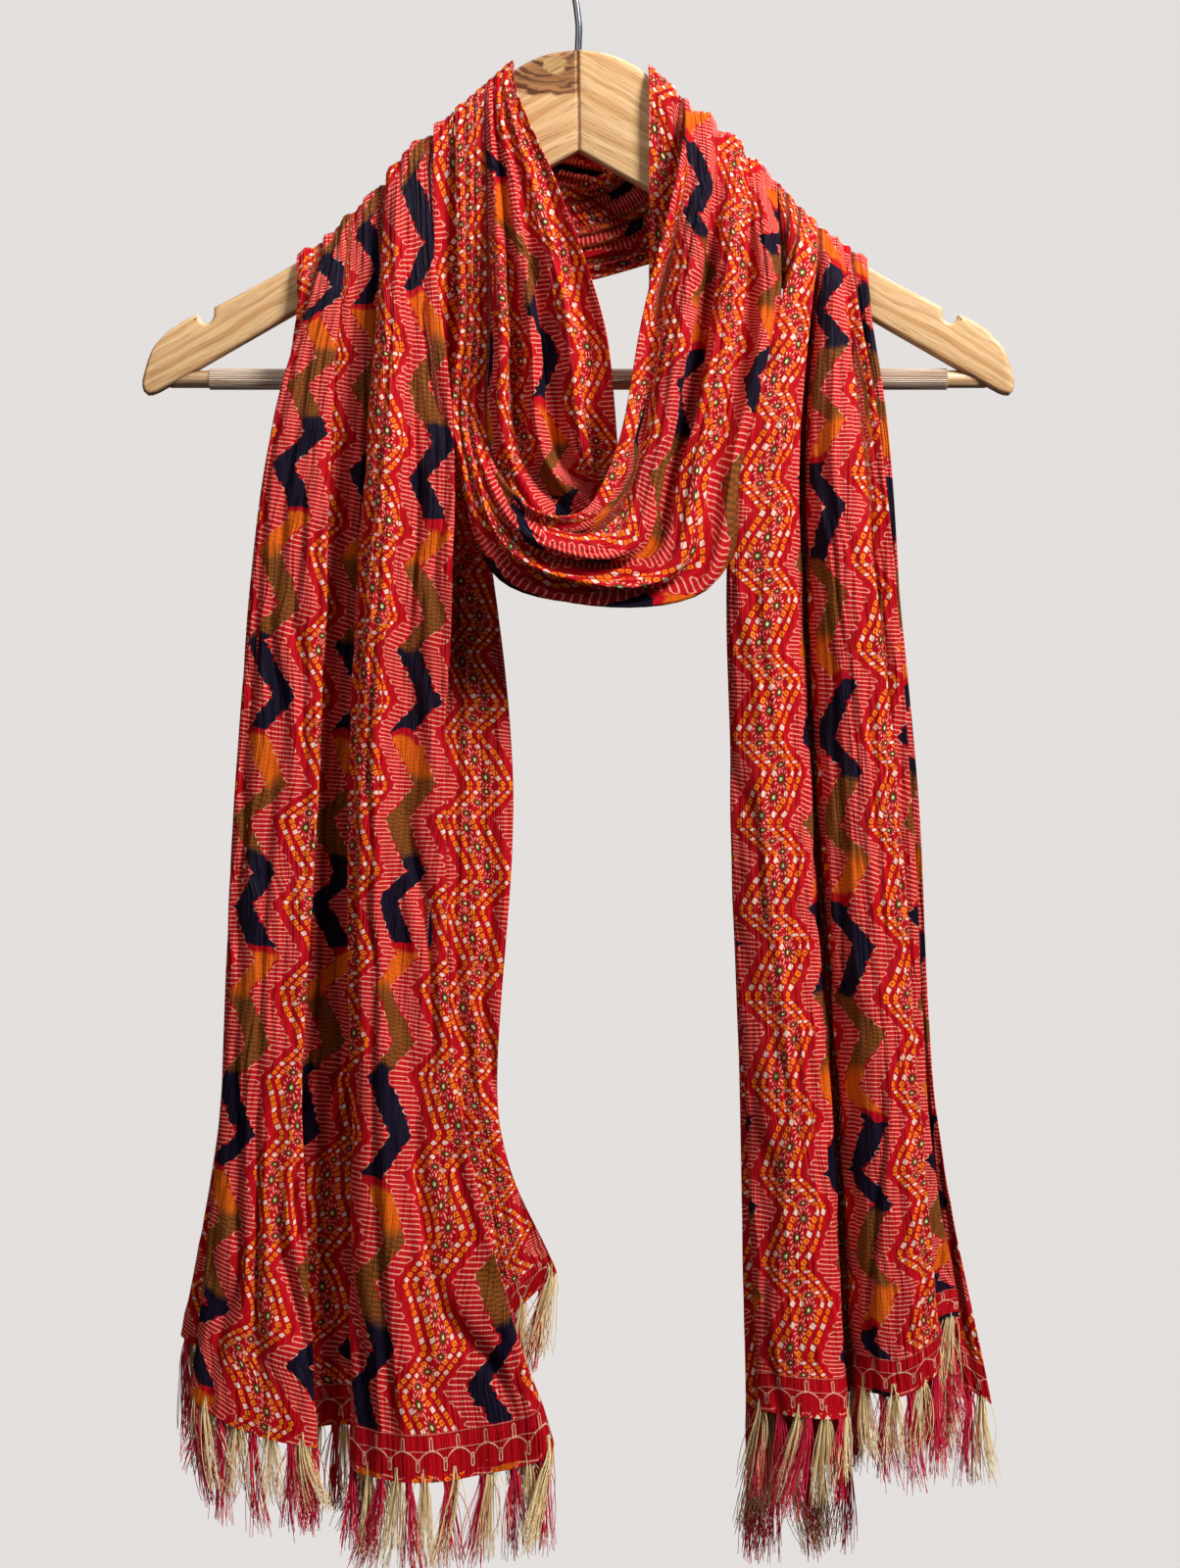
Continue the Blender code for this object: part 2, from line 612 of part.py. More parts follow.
def make_hook(material):
    """A wire stem that rises from the neck and turns over the rod in a round hook."""
    bend = HOOK_RADIUS + WIRE_RADIUS
    turns = np.radians(np.linspace(205, -62, 20))
    arc = [(-bend * math.cos(t), -HOOK_RADIUS + bend * math.sin(t)) for t in turns]
    arc = arc[::-1]
    stem = [(0.0, -NECK_DROP - STEM_DEPTH), (0.0, -NECK_DROP), (0.0, -NECK_DROP + 16.0)]
    route = np.array(stem + arc)
    line = np.concatenate([route[:2], curve_points(route[1:], 30)])
    add_object("hook", tube_mesh("hook", line, WIRE_RADIUS, 8), material)


def curve_points(route, count):
    """Evenly spaced places along a smooth curve through a route's points."""
    steps = np.linalg.norm(np.diff(route, axis=0), axis=1)
    knots = np.concatenate([[0.0], np.cumsum(steps)])
    return smooth_through(knots, route, np.linspace(0, knots[-1], count))[1:]


def tube_mesh(name, line, radius, sides):
    """A round wire along a line in the plane of the hanger, as (x, z) points."""
    way = np.gradient(line, axis=0)
    way /= np.linalg.norm(way, axis=1, keepdims=True)
    turn = 2 * math.pi * (np.arange(sides) + 0.5) / sides
    verts = [
        ((x + radius * math.cos(t) * dz) * MM, radius * math.sin(t) * MM,
         (z - radius * math.cos(t) * dx) * MM)
        for (x, z), (dx, dz) in zip(line, way)
        for t in turn
    ]
    rings = np.arange(len(verts)).reshape(len(line), sides)
    faces = []
    for here, after in zip(rings[:-1], rings[1:]):
        for k in range(sides):
            faces.append([here[k], here[(k + 1) % sides], after[(k + 1) % sides], after[k]])
    return mesh_from(name, verts, faces + [list(rings[0]), list(rings[-1])])


def make_hanger():
    """Two mitred arms, the trouser bar with its clear sleeve, and the hook."""
    wood = finish_of("oak", OAK, 0.45)
    make_arm("arm_right", 1, wood)
    make_arm("arm_left", -1, wood)
    bar = cylinder("bar", BAR_RADIUS, (-BAR_HALF, 0, -BAR_DROP), (BAR_HALF, 0, -BAR_DROP), 16)
    add_object("bar", bar, wood)
    make_sleeve(finish_of("clear_sleeve", CLEAR, 0.2))
    make_hook(finish_of("steel", STEEL, 0.25, 1.0))


def clear_scene():
    """Removes what the startup file holds."""
    for old in list(bpy.data.objects):
        bpy.data.objects.remove(old)


def main():
    clear_scene()
    thread = finish_of("fringe_thread", GOLD, 0.5)
    for name, hem, down, normals in make_cloth():
        add_object(name, fringe_mesh(name, hem, down, normals), thread, smooth=False)
    make_hanger()


main()
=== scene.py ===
"""A printed dupatta stole wound once round the neck of an oak hanger, dressed over its frame.

The stole is one length of crinkled cloth, drawn as a net of sixteen fold lines that run from the
hem of the left tail to the hem of the right one. Every place on it has a distance along the
cloth, s, and a place across it in fold lines, t. Lengths are in millimetres until a mesh is
made. x runs to the right, y from the viewer to the wall, and a drop is a distance below the
point where the hook hangs.
"""

import math

import bpy
import numpy as np
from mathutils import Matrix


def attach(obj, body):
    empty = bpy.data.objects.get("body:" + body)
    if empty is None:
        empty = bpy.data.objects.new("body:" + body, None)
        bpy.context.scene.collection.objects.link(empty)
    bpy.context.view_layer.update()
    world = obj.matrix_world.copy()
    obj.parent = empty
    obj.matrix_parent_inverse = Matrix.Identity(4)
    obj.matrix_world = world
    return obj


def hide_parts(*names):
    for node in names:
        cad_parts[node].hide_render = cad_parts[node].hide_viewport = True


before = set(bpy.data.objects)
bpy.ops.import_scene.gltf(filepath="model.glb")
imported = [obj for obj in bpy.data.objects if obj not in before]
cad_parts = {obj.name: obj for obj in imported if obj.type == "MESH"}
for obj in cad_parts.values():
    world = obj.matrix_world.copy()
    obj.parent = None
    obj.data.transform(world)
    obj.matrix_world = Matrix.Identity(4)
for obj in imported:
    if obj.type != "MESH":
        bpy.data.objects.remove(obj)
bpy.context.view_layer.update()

MM = 0.001
TURN = 2 * math.pi
LINES = 16

# Each fold line is a ridge (1) or a valley (-1), and has a share of the full height on the arms.
RIDGE = np.where(np.arange(LINES) % 2 == 1, 1.0, -1.0)
CREST_SHARES = (0.0, 0.5, 0.9, 0.4, 0.6, 1.0, 0.5, 0.3, 0.8, 0.9, 0.4, 0.6, 1.0, 0.5, 0.3, 0.0)

# ---- sizes of the hanger

ARM_THICKNESS = 12.0
ARM_ROUNDING = 2.2
APEX_DROP, UNDERSIDE_SLOPE = 126.5, 0.574
NOTCH_X, NOTCH_RADIUS, NOTCH_DEPTH = 189.5, 4.2, 6.0
MITRE_GAP = 0.08
WIRE_RADIUS, HOOK_RADIUS, STEM_END = 1.75, 17.0, 98.5
BAR_DROP, BAR_RADIUS, BAR_END_RADIUS, BAR_HALF = 242.5, 4.5, 3.9, 208.5
SLEEVE_RADIUS, SLEEVE_HALF, SLEEVE_RIBS = 5.2, 188.0, 36

# The top edge of an arm, from the middle of the hanger outwards: x, drop.
ARM_TOP = (
    (0, 75), (17.5, 78), (33.5, 86.5), (50, 104.5), (70, 126),
    (90, 145), (110, 162), (146, 185), (185, 206), (203, 214.5),
    (212, 221.5), (219, 232.5), (222, 243),
)

# ---- the hang of the stole

# The tails, a row for each fold line from the outer selvedge (0) to the inner one (15). The
# columns give x at the crest of the arm and at drops of 250, 450 and 620, x and drop at the hem,
# and how far in front of the hanger's middle plane the line hangs, high up and low down.
TAIL_COLUMNS = (
    "crest_x", "chest_x", "waist_x", "knee_x", "hem_x", "hem_drop", "top_depth", "low_depth",
)
LEFT_TAIL = (
    (-143, -139, -150, -160, -164, 747, 9, 1),
    (-139, -148, -171, -181.5, -201, 729, 16, 9),
    (-134, -142, -160, -171, -180, 746, 17, 18),
    (-129, -150, -173, -181, -195, 757, 24, 24),
    (-124, -138, -154, -164, -169, 774, 28, 33),
    (-118, -124, -131, -139, -132, 783, 29, 31),
    (-113, -118, -134, -146, -140, 778, 18, 16),
    (-107, -109, -122, -126, -122, 774, 19, 11),
    (-102, -101, -108, -104, -102, 778, 15, 14),
    (-97, -104, -115, -114, -114, 793, 29, 28),
    (-91, -93, -102, -97, -84, 799, 38, 40),
    (-84, -82, -92, -82, -52, 797, 27, 31),
    (-78, -65, -67, -58, -13, 784, 30, 32),
    (-73, -71, -74, -72, -36, 750, 17, 16),
    (-68.5, -67, -62, -61, -36, 724, 9.5, 6),
    (-63.4, -54, -33, -40, -11, 698, 8.8, 2),
)
RIGHT_TAIL = (
    (147, 152, 172.5, 182.5, 210, 764, 10, 8),
    (144, 154, 166, 176, 190, 750, 15, 3),
    (141, 145, 161, 171, 180, 732, 12, 6),
    (138, 149, 168, 178, 193, 718, 22, 15),
    (135, 140, 157, 168, 177, 724, 19, 22),
    (132, 139, 160, 172, 182, 742, 29, 31),
    (129, 129, 142, 155, 163, 756, 33, 38),
    (126, 120, 126, 138, 146, 755, 26, 28),
    (123, 116, 120, 131, 138, 757, 15, 13),
    (120, 111, 114, 125, 134, 768, 27, 27),
    (117, 102, 97, 106, 114, 767, 35, 36),
    (114, 87, 77, 85, 92, 766, 32, 25),
    (111, 96, 84, 91, 98, 780, 24, 13),
    (108, 97, 79, 83, 86, 794, 18, 6),
    (105, 109, 98, 104, 110, 798, 12, 1),
    (102, 116, 113, 124, 138, 794, 9, 3),
)

# The cowl, a row for each fold line from the outer edge (0) to the neck edge (15). The columns
# follow a line from the right arm, down its right side, along the bottom and up its left side
# to the left arm. The last three say how far forward it hangs on each side and at the bottom.
COWL_COLUMNS = (
    "right_crest_x", "right_mid_x", "right_low_x", "right_foot_x", "right_foot_drop",
    "left_foot_x", "left_foot_drop", "left_low_x", "left_mid_x", "left_crest_x", "right_depth",
    "foot_depth", "left_depth",
)
COWL = (
    (101, 102, 86, 70, 344, -36, 349, -61, -60.5, -62.6, 22, 38, 16),
    (94, 95.5, 79.5, 62.5, 352, -34, 346, -59, -58.5, -60, 34, 50, 18),
    (87.5, 85.5, 71, 55, 343, -32, 339, -56.5, -56.5, -57.5, 28, 45, 16.5),
    (80.5, 75, 60, 45, 345, -30, 336, -54, -54.5, -55, 41, 58, 18.5),
    (74, 62, 49, 35, 333, -28, 329, -51.5, -52.5, -53, 32, 50, 17),
    (67.5, 54, 41, 27, 332, -26.5, 325, -49, -50.5, -51, 45, 61, 19),
    (61, 43, 30, 16, 320, -25, 317, -46.5, -48.5, -49.5, 38, 55, 17.5),
    (55, 33, 19, 5, 312, -24, 311, -44, -46.5, -48, 38, 54, 18.5),
    (50.5, 56, 50, 33, 328, -22, 322, -41, -43, -46.5, 12, 32, 21),
    (48, 53.5, 48, 35, 322, -13, 315, -34, -38, -45, 9, 26, 31),
    (46, 51, 46, 36.5, 316, -6, 309, -25, -31, -43, 11, 23, 20),
    (44, 48.5, 44, 37, 310.5, 1, 305, -16, -24, -41, 9, 23.5, 32),
    (42, 45.5, 42, 37, 305, 8.5, 300, -6, -15, -39, 11, 21, 21),
    (40, 42.5, 40, 36, 300, 15, 297, 4, -6, -37, 9.5, 21.5, 31),
    (38, 39, 38, 34.5, 295, 20, 292, 13, 3, -35, 11, 19, 21),
    (36, 36, 36, 32, 291, 26, 289, 21, 12.5, -33, 10, 19, 27),
)

# The two crossings behind the hanger, a row for each place along them: x and drop of the outer
# line (0), x and drop of the inner line (15), and how far behind the middle plane they lie.
LOWER_CROSSING = (
    (-88, 193, -48, 136, 10.8),
    (-12, 194, -8, 144, 13),
    (52, 178, 22, 128, 12),
)
UPPER_CROSSING = (
    (-42, 156, -16, 112, 27),
    (10, 172, 24, 122, 32),
    (84, 184, 72, 140, 27),
)
CHEST, WAIST, KNEE = 250.0, 450.0, 620.0
COWL_MID, COWL_LOW = 214.0, 285.0

# How the cloth's width lies in the pleats. A panel is a run of fold lines that shows, and what
# is between two panels is tucked under. The columns give its first and last line, the line that
# the print is set by at the hem and high up, and its distance from the selvedge on flat cloth.
PANEL_COLUMNS = ("first", "last", "hem_line", "high_line", "cloth_mm")
LEFT_PANELS = (
    (0, 2.1, 1.5, 1.5, 58),
    (2.9, 5.2, 3.2, 4.2, 101),
    (5.8, 8.1, 5.8, 7.6, 172),
    (8.8, 12.1, 9.4, 11.4, 314),
    (12.9, 15, 14, 14, 480),
)
COWL_PANELS = (
    (0, 7.2, 2.7, 2.7, 65.5),
    (7.7, 15, 13.6, 13.6, 491.5),
)
RIGHT_PANELS = (
    (0, 2.1, 1, 1, 27),
    (2.9, 7.7, 6.6, 6.6, 243),
    (8.3, 11.2, 10, 10, 349.5),
    (11.9, 13.2, 12.5, 12.5, 430),
    (13.9, 15, 14.5, 14.5, 500),
)

# Where the cloth is drawn in to a sharp valley, in fold lines, and how deep in millimetres.
LEFT_VALLEYS = ((2.5, 7), (5.5, 11), (8.45, 10), (12.5, 11))
COWL_VALLEYS = ((2.1, 5), (4.1, 9), (6.2, 6), (7.45, 10), (9.9, 7), (11.6, 4), (13.6, 5))
RIGHT_VALLEYS = ((2.5, 8), (4.5, 5), (8.1, 13), (11.5, 7), (13.6, 8))
VALLEY_WIDTH = 0.24
PLEATS_PER_FOLD = 1.7
PLEAT_HEIGHT, CREASE_HEIGHT = 0.21, 0.08

# The five stretches from hem to hem: the CAD node that each stands for, the step between rows,
# the cut of the cloth that shows in it, width and length in metres, and the arm that it rests on.
STRETCHES = (
    ("tail_left", 5.0, (0.33, 0.64), "arm_of_oak_left"),
    ("crossing_lower", 5.0, (0.11, 0.15), "arm_of_oak_left"),
    ("cowl", 4.0, (0.18, 0.52), "arm_of_oak_right"),
    ("crossing_upper", 5.0, (0.08, 0.17), "arm_of_oak_left"),
    ("tail_right", 5.0, (0.26, 0.64), "arm_of_oak_right"),
)
SAMPLES_PER_FOLD = 18
WALL, HEM_WALL = 0.7, 1.5
BORDER = 19.5

# Fringe: tassels of gold and of red thread in turn along each hem.
TASSEL_PITCH = 8.6
THREADS = 40
THREAD_RADIUS = 0.27
THREAD_LENGTH = 47.0
GOLD_START = 7.0


# ---- curves and noise


def columns(table, names):
    """The columns of a table by name, as arrays."""
    return dict(zip(names, np.array(table, float).T))


def smooth_through(knots, values, at):
    """A smooth curve through values[k] at knots[k], read at the given places.

    The slope at a knot is the mean of the slopes on its two sides, weighted by the other side's
    length, and between two knots the curve is the cubic that has those slopes.
    """
    knots, values = np.asarray(knots, float), np.asarray(values, float)
    tail = (1,) * (values.ndim - 1)
    steps = np.diff(knots).reshape((-1,) + tail)
    chords = np.diff(values, axis=0) / steps
    slopes = np.empty_like(values)
    slopes[1:-1] = (chords[1:] * steps[:-1] + chords[:-1] * steps[1:]) / (steps[1:] + steps[:-1])
    slopes[0], slopes[-1] = chords[0], chords[-1]
    cell = np.clip(np.searchsorted(knots, at, side="right") - 1, 0, len(knots) - 2)
    step = steps[cell]
    share = ((at - knots[cell]) / np.diff(knots)[cell]).reshape((-1,) + tail)
    back = 1.0 - share
    return (
        values[cell] * back**2 * (1 + 2 * share)
        + values[cell + 1] * share**2 * (1 + 2 * back)
        + slopes[cell] * step * share * back**2
        - slopes[cell + 1] * step * share**2 * back
    )


def unit(vectors):
    """The same directions with a length of one."""
    return vectors / np.linalg.norm(vectors, axis=-1, keepdims=True)


def ease(value, start, end):
    """0 before start, 1 after end, and 3w^2 - 2w^3 of the share w between them."""
    share = np.clip((value - start) / (end - start), 0.0, 1.0)
    return share * share * (3.0 - 2.0 * share)


def drift(x, y, seed):
    """Smooth uneven values from -1 to 1 over two coordinates.

    A square lattice of seeded random numbers is read between its points with the eased share of
    each coordinate.
    """
    lattice = np.random.default_rng(seed).uniform(-1.0, 1.0, (64, 64))
    x, y = np.broadcast_arrays(x, y)
    column_at, row_at = np.floor(x).astype(int), np.floor(y).astype(int)
    along, up = ease(x - column_at, 0.0, 1.0), ease(y - row_at, 0.0, 1.0)
    c0, c1, r0, r1 = column_at % 64, (column_at + 1) % 64, row_at % 64, (row_at + 1) % 64
    low = lattice[r0, c0] * (1 - along) + lattice[r0, c1] * along
    high = lattice[r1, c0] * (1 - along) + lattice[r1, c1] * along
    return low * (1 - up) + high * up


# ---- the net of fold lines


def arm_top(x):
    """Drop of the top edge of an arm at a distance x from the middle: smooth through ARM_TOP."""
    points = np.array(ARM_TOP)
    return smooth_through(points[:, 0], points[:, 1], np.abs(x))


def pile_top(x):
    """Drop of the top of the gathered cloth on an arm: the arm's, less 5.6 mm and a bell-shaped
    hump of 13 mm where the cowl lies."""
    hump = 13.0 * np.exp(-(((np.abs(x) - 82.0) / 32.0) ** 2))
    return arm_top(x) - 5.6 - hump


def gather(x, wanted):
    """Depth of pleats at lines that stand at x: as wanted, or 0.13 of their spacing squared."""
    spacing = np.abs(np.gradient(x))
    return np.minimum(wanted, 0.13 * spacing**2)


def point_rows(x, depth, drop):
    """Points (x, -depth, -drop) of all the fold lines at one place along the cloth."""
    return np.stack([x, -np.broadcast_to(depth, x.shape), -drop], axis=1)


def over_arm(crest_x, lower_depth, back_depth):
    """The five places where the cloth bends over an arm, from the front of it to the back."""
    swell = gather(crest_x, 2.1)
    lift = swell * RIDGE * np.array(CREST_SHARES)
    top = pile_top(crest_x) + swell - lift
    low = pile_top(crest_x) + swell + 24.0 - 12.0 * np.arange(LINES) / (LINES - 1)
    return [
        point_rows(crest_x, 8.3 + 0.1 * lower_depth, top + 8.0),
        point_rows(crest_x, 6.5, top + 1.6),
        point_rows(crest_x, 0.0, top),
        point_rows(crest_x, -6.5, top + 1.6),
        point_rows(crest_x, -back_depth - 0.4 * lift, low),
    ]


def tail_rows(table, back_depth):
    """The places along a tail, from its hem to the back of the arm that it hangs over."""
    col = columns(table, TAIL_COLUMNS)
    high, low = col["top_depth"], col["low_depth"]
    arch = over_arm(col["crest_x"], high, back_depth)
    shoulder_x = col["crest_x"] * 0.8 + col["chest_x"] * 0.2
    shoulder_drop = 0.6 * pile_top(col["crest_x"]) + 95.0
    shoulder = point_rows(shoulder_x, 5.5 + 0.5 * high, shoulder_drop)
    at_drop = np.full(LINES, 1.0)
    return [
        point_rows(col["hem_x"], low, col["hem_drop"]),
        point_rows(col["knee_x"], low, KNEE * at_drop),
        point_rows(col["waist_x"], 0.45 * high + 0.55 * low, WAIST * at_drop),
        point_rows(col["chest_x"], high, CHEST * at_drop),
        shoulder,
    ] + arch


def cowl_rows():
    """The places along the cowl, from the back of the right arm round to the back of the left."""
    col = columns(COWL, COWL_COLUMNS)
    level = np.full(LINES, 1.0)
    right, foot, left = col["right_depth"], col["foot_depth"], col["left_depth"]
    right_arch = over_arm(col["right_crest_x"], right, 9.0)[::-1]
    left_arch = over_arm(col["left_crest_x"], left, 16.0)
    right_upper = col["right_crest_x"] * 0.75 + col["right_mid_x"] * 0.25
    left_upper = col["left_crest_x"] * 0.5 + col["left_mid_x"] * 0.5
    right_drop = pile_top(col["right_crest_x"]) * 0.62 + COWL_MID * 0.38
    left_drop = pile_top(col["left_crest_x"]) * 0.5 + COWL_MID * 0.5
    return (
        right_arch
        + [
            point_rows(right_upper, 0.55 * right + 5.5, right_drop),
            point_rows(col["right_mid_x"], right, COWL_MID * level),
            point_rows(col["right_low_x"], 0.5 * (right + foot), COWL_LOW * level),
            point_rows(col["right_foot_x"], foot, col["right_foot_drop"]),
            point_rows(col["left_foot_x"], foot, col["left_foot_drop"]),
            point_rows(col["left_low_x"], 0.2 * foot + 0.8 * left, COWL_LOW * level),
            point_rows(col["left_mid_x"], left, COWL_MID * level),
            point_rows(left_upper, 0.5 * left + 6.0, left_drop),
        ]
        + left_arch
    )


def crossing_rows(table):
    """The places along a crossing, each a straight row of lines with big soft rolls in it."""
    share = np.arange(LINES) / (LINES - 1)
    rows = []
    for outer_x, outer_drop, inner_x, inner_drop, behind in table:
        x = outer_x + (inner_x - outer_x) * share
        drop = outer_drop + (inner_drop - outer_drop) * share
        pleat = 1.0 * RIDGE + 1.2 * np.sin(share * 11.0)
        rows.append(point_rows(x, -(behind + pleat), drop))
    return rows


def whole_net():
    """All the places along the stole as (place, line, xyz), and where each stretch ends."""
    left, right = tail_rows(LEFT_TAIL, 9.0), tail_rows(RIGHT_TAIL, 13.0)[::-1]
    lower, cowl, upper = crossing_rows(LOWER_CROSSING), cowl_rows(), crossing_rows(UPPER_CROSSING)
    places, ends = [], []
    for stretch in (left, lower, cowl, upper, right):
        places += stretch
        ends.append(len(places))
    cuts = [0, ends[0] - 1, ends[1], ends[2] - 1, ends[3], ends[4] - 1]
    return np.array(places), cuts


def lengths_along(net):
    """Distance along the cloth of each place, as the mean over the fold lines."""
    steps = np.linalg.norm(np.diff(net, axis=0), axis=2).mean(axis=1)
    return np.concatenate([[0.0], np.cumsum(steps)])


def lengths_across(points):
    """Distance of each sample from the outer selvedge, measured along its row."""
    steps = np.linalg.norm(np.diff(points, axis=1), axis=2)
    return np.concatenate([np.zeros((len(points), 1)), np.cumsum(steps, axis=1)], axis=1)


def cloth_points(net, knots, along, across):
    """Points (row, sample, xyz): smooth along each fold line, then smooth from line to line."""
    rows = smooth_through(knots, net, along)
    return np.moveaxis(smooth_through(np.arange(LINES), np.moveaxis(rows, 1, 0), across), 0, 1)


# ---- the cloth's surface


def pleat_count(along, across):
    """Small pleats counted across the cloth, at each row and sample.

    It is so many to a fold line, and wanders with two sizes of drift, so that no pleat is quite
    straight or as wide as the next.
    """
    s, t = along[:, None], across[None, :]
    wander = 0.5 * drift(t * 0.8, s / 110.0, 3) + 0.16 * drift(t * 2.1, s / 36.0, 4)
    return PLEATS_PER_FOLD * (t + wander)


def creases(along, across, fold_width):
    """Height of the small pleats and creases over the main folds, in millimetres.

    Narrow ridges run along the cloth: each is a constant less the size of the sine of its count.
    The coarse set follows the small pleats and the fine set runs 1.9 times as close with a
    wander of its own. Their heights come and go, and grow with the width that a fold has there.
    """
    s, t = along[:, None], across[None, :]
    coarse = pleat_count(along, across)
    fine = 1.9 * coarse + 0.8 * drift(t * 1.7, s / 48.0, 11)
    strength = 0.62 + 0.38 * drift(t * 1.1 + 7.0, s / 70.0, 5)
    strength_fine = 0.5 + 0.5 * drift(t * 2.3 + 3.0, s / 40.0, 13)
    height = PLEAT_HEIGHT * strength * (0.64 - np.abs(np.sin(math.pi * coarse)))
    height = height + CREASE_HEIGHT * strength_fine * (0.64 - np.abs(np.sin(math.pi * fine)))
    return height * np.minimum(fold_width, 30.0)


def grooves(valleys, along, across):
    """How far the cloth is drawn in along its sharp valleys: narrow bells that wander a little."""
    s, t = along[:, None], across[None, :]
    drawn = 0.0
    for line, depth in valleys:
        middle = line + 0.18 * drift(s / 90.0, line, 21)
        depth = depth * (0.75 + 0.35 * drift(s / 120.0, line + 9.0, 22))
        drawn = drawn + depth * np.exp(-(((t - middle) / VALLEY_WIDTH) ** 2))
    return drawn


def tucked_under(panels, arcs, across, from_hem):
    """Cloth hidden between the outer selvedge and each sample, (row, sample).

    In a panel it is the place of its set line on the flat cloth, less the length of the section
    up to that line. Between two panels it eases from one to the other.
    """
    first, last, hem_line, high_line, cloth = columns(panels, PANEL_COLUMNS).values()
    set_lines = hem_line + (high_line - hem_line) * ease(from_hem, 0.0, 350.0)[:, None]
    at_line = np.stack([np.interp(lines, across, row) for lines, row in zip(set_lines, arcs)])
    shift = np.maximum.accumulate(cloth[None, :] - at_line, axis=1)
    result = 0.0
    for k in range(len(first)):
        in_panel = shift[:, k : k + 1]
        share = ease(across, last[k - 1], first[k])[None, :] if k else 1.0
        result = result * (1 - share) + in_panel * share
    return result


def shares(along, knots, cuts):
    """How far each row belongs to the left tail, the cowl and the right tail, each (row, 1)."""
    to_cowl = ease(along, knots[cuts[1]], knots[cuts[2]])[:, None]
    to_right = ease(along, knots[cuts[3]], knots[cuts[4]])[:, None]
    return 1 - to_cowl, to_cowl - to_right, to_right


def flat_places(along, across, arcs, knots, cuts):
    """Each sample's place on the flat cloth, (row, sample, 2) in metres.

    Across, it is the length of the section up to there and what is tucked under, which changes
    smoothly from the left tail's folds to the cowl's and to the right tail's behind the hanger.
    Along, it is the distance along the fold lines.
    """
    from_hem = np.minimum(along, knots[-1] - along)
    tucked = 0.0
    parts = shares(along, knots, cuts)
    for panels, share in zip((LEFT_PANELS, COWL_PANELS, RIGHT_PANELS), parts):
        tucked = tucked + tucked_under(panels, arcs, across, from_hem) * share
    width = (arcs + tucked) * MM
    length = np.broadcast_to(along[:, None] * MM, width.shape)
    return np.stack([width, length], axis=-1)


def cloth_surface(net, knots, cuts, along, across):
    """Points with their creases, unit normals, directions along and places on the flat cloth.

    A point is the smooth net's point moved along the normal by the height of the creases. The
    normal is the cross product of the directions along and across.
    """
    smooth = cloth_points(net, knots, along, across)
    ahead = cloth_points(net, knots, along + 0.5, across)
    ahead = ahead - cloth_points(net, knots, along - 0.5, across)
    normal = unit(np.cross(ahead, np.gradient(smooth, axis=1)))
    fold_width = np.gradient(lengths_across(smooth), across, axis=1)
    from_hem = np.minimum(along, knots[-1] - along)[:, None]
    calm = 0.35 + 0.65 * ease(from_hem, 6.0, 40.0)
    room = np.minimum(fold_width / 14.0, 1.0) ** 2
    height = creases(along, across, fold_width) * calm * (0.45 + 0.55 * room)
    parts = shares(along, knots, cuts)
    for valleys, share in zip((LEFT_VALLEYS, COWL_VALLEYS, RIGHT_VALLEYS), parts):
        height = height + grooves(valleys, along, across) * share * room * calm
    points = smooth + normal * height[..., None]
    places = flat_places(along, across, lengths_across(points), knots, cuts)
    return points, normal, unit(ahead), places


def shell(points, normals, places, thickness):
    """Vertices, quads and flat places of a thin closed shell about a grid of points.

    The outer wall is half the thickness along the normal, the inner wall as far against it, and
    a strip of quads closes the rim between them.
    """
    rows, samples, _ = points.shape
    push = normals * thickness[:, None, None] / 2
    verts = np.concatenate([(points + push).reshape(-1, 3), (points - push).reshape(-1, 3)])
    index = np.arange(rows * samples).reshape(rows, samples)
    under = rows * samples
    a, b, c, d = index[:-1, :-1], index[1:, :-1], index[1:, 1:], index[:-1, 1:]
    front = np.stack([a, b, c, d], axis=-1).reshape(-1, 4)
    back = front[:, ::-1] + under
    rim = np.concatenate([index[0], index[1:, -1], index[-1, -2::-1], index[-2:0:-1, 0]])
    after = np.roll(rim, -1)
    sides = np.stack([rim, after, after + under, rim + under], axis=1)
    flat = places.reshape(-1, 2)
    return verts, np.concatenate([front, back, sides]), np.concatenate([flat, flat])


# ---- meshes


def shown(name, data):
    """An object of that name and data, put in the scene."""
    made = bpy.data.objects.new(name, data)
    bpy.context.scene.collection.objects.link(made)
    return made


def dress(piece, node):
    """Puts a piece under the root body and hides the CAD node that it stands for."""
    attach(piece, "root")
    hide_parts(node)


def distances(line):
    """Distance of each point of a line from its first."""
    steps = np.linalg.norm(np.diff(line, axis=0), axis=1)
    return np.concatenate([[0.0], np.cumsum(steps)])


def walls_between(here, after):
    """Quads round a tube, from each ring of indices to the ring after it."""
    quads = [here, np.roll(here, -1, -1), np.roll(after, -1, -1), after]
    return np.stack(quads, axis=-1).reshape(-1, 4)


def plain_mesh(name, points, faces, material):
    """A mesh of points in metres and faces with any number of corners."""
    mesh = bpy.data.meshes.new(name)
    mesh.from_pydata(points, [], faces)
    mesh.materials.append(material)
    return mesh


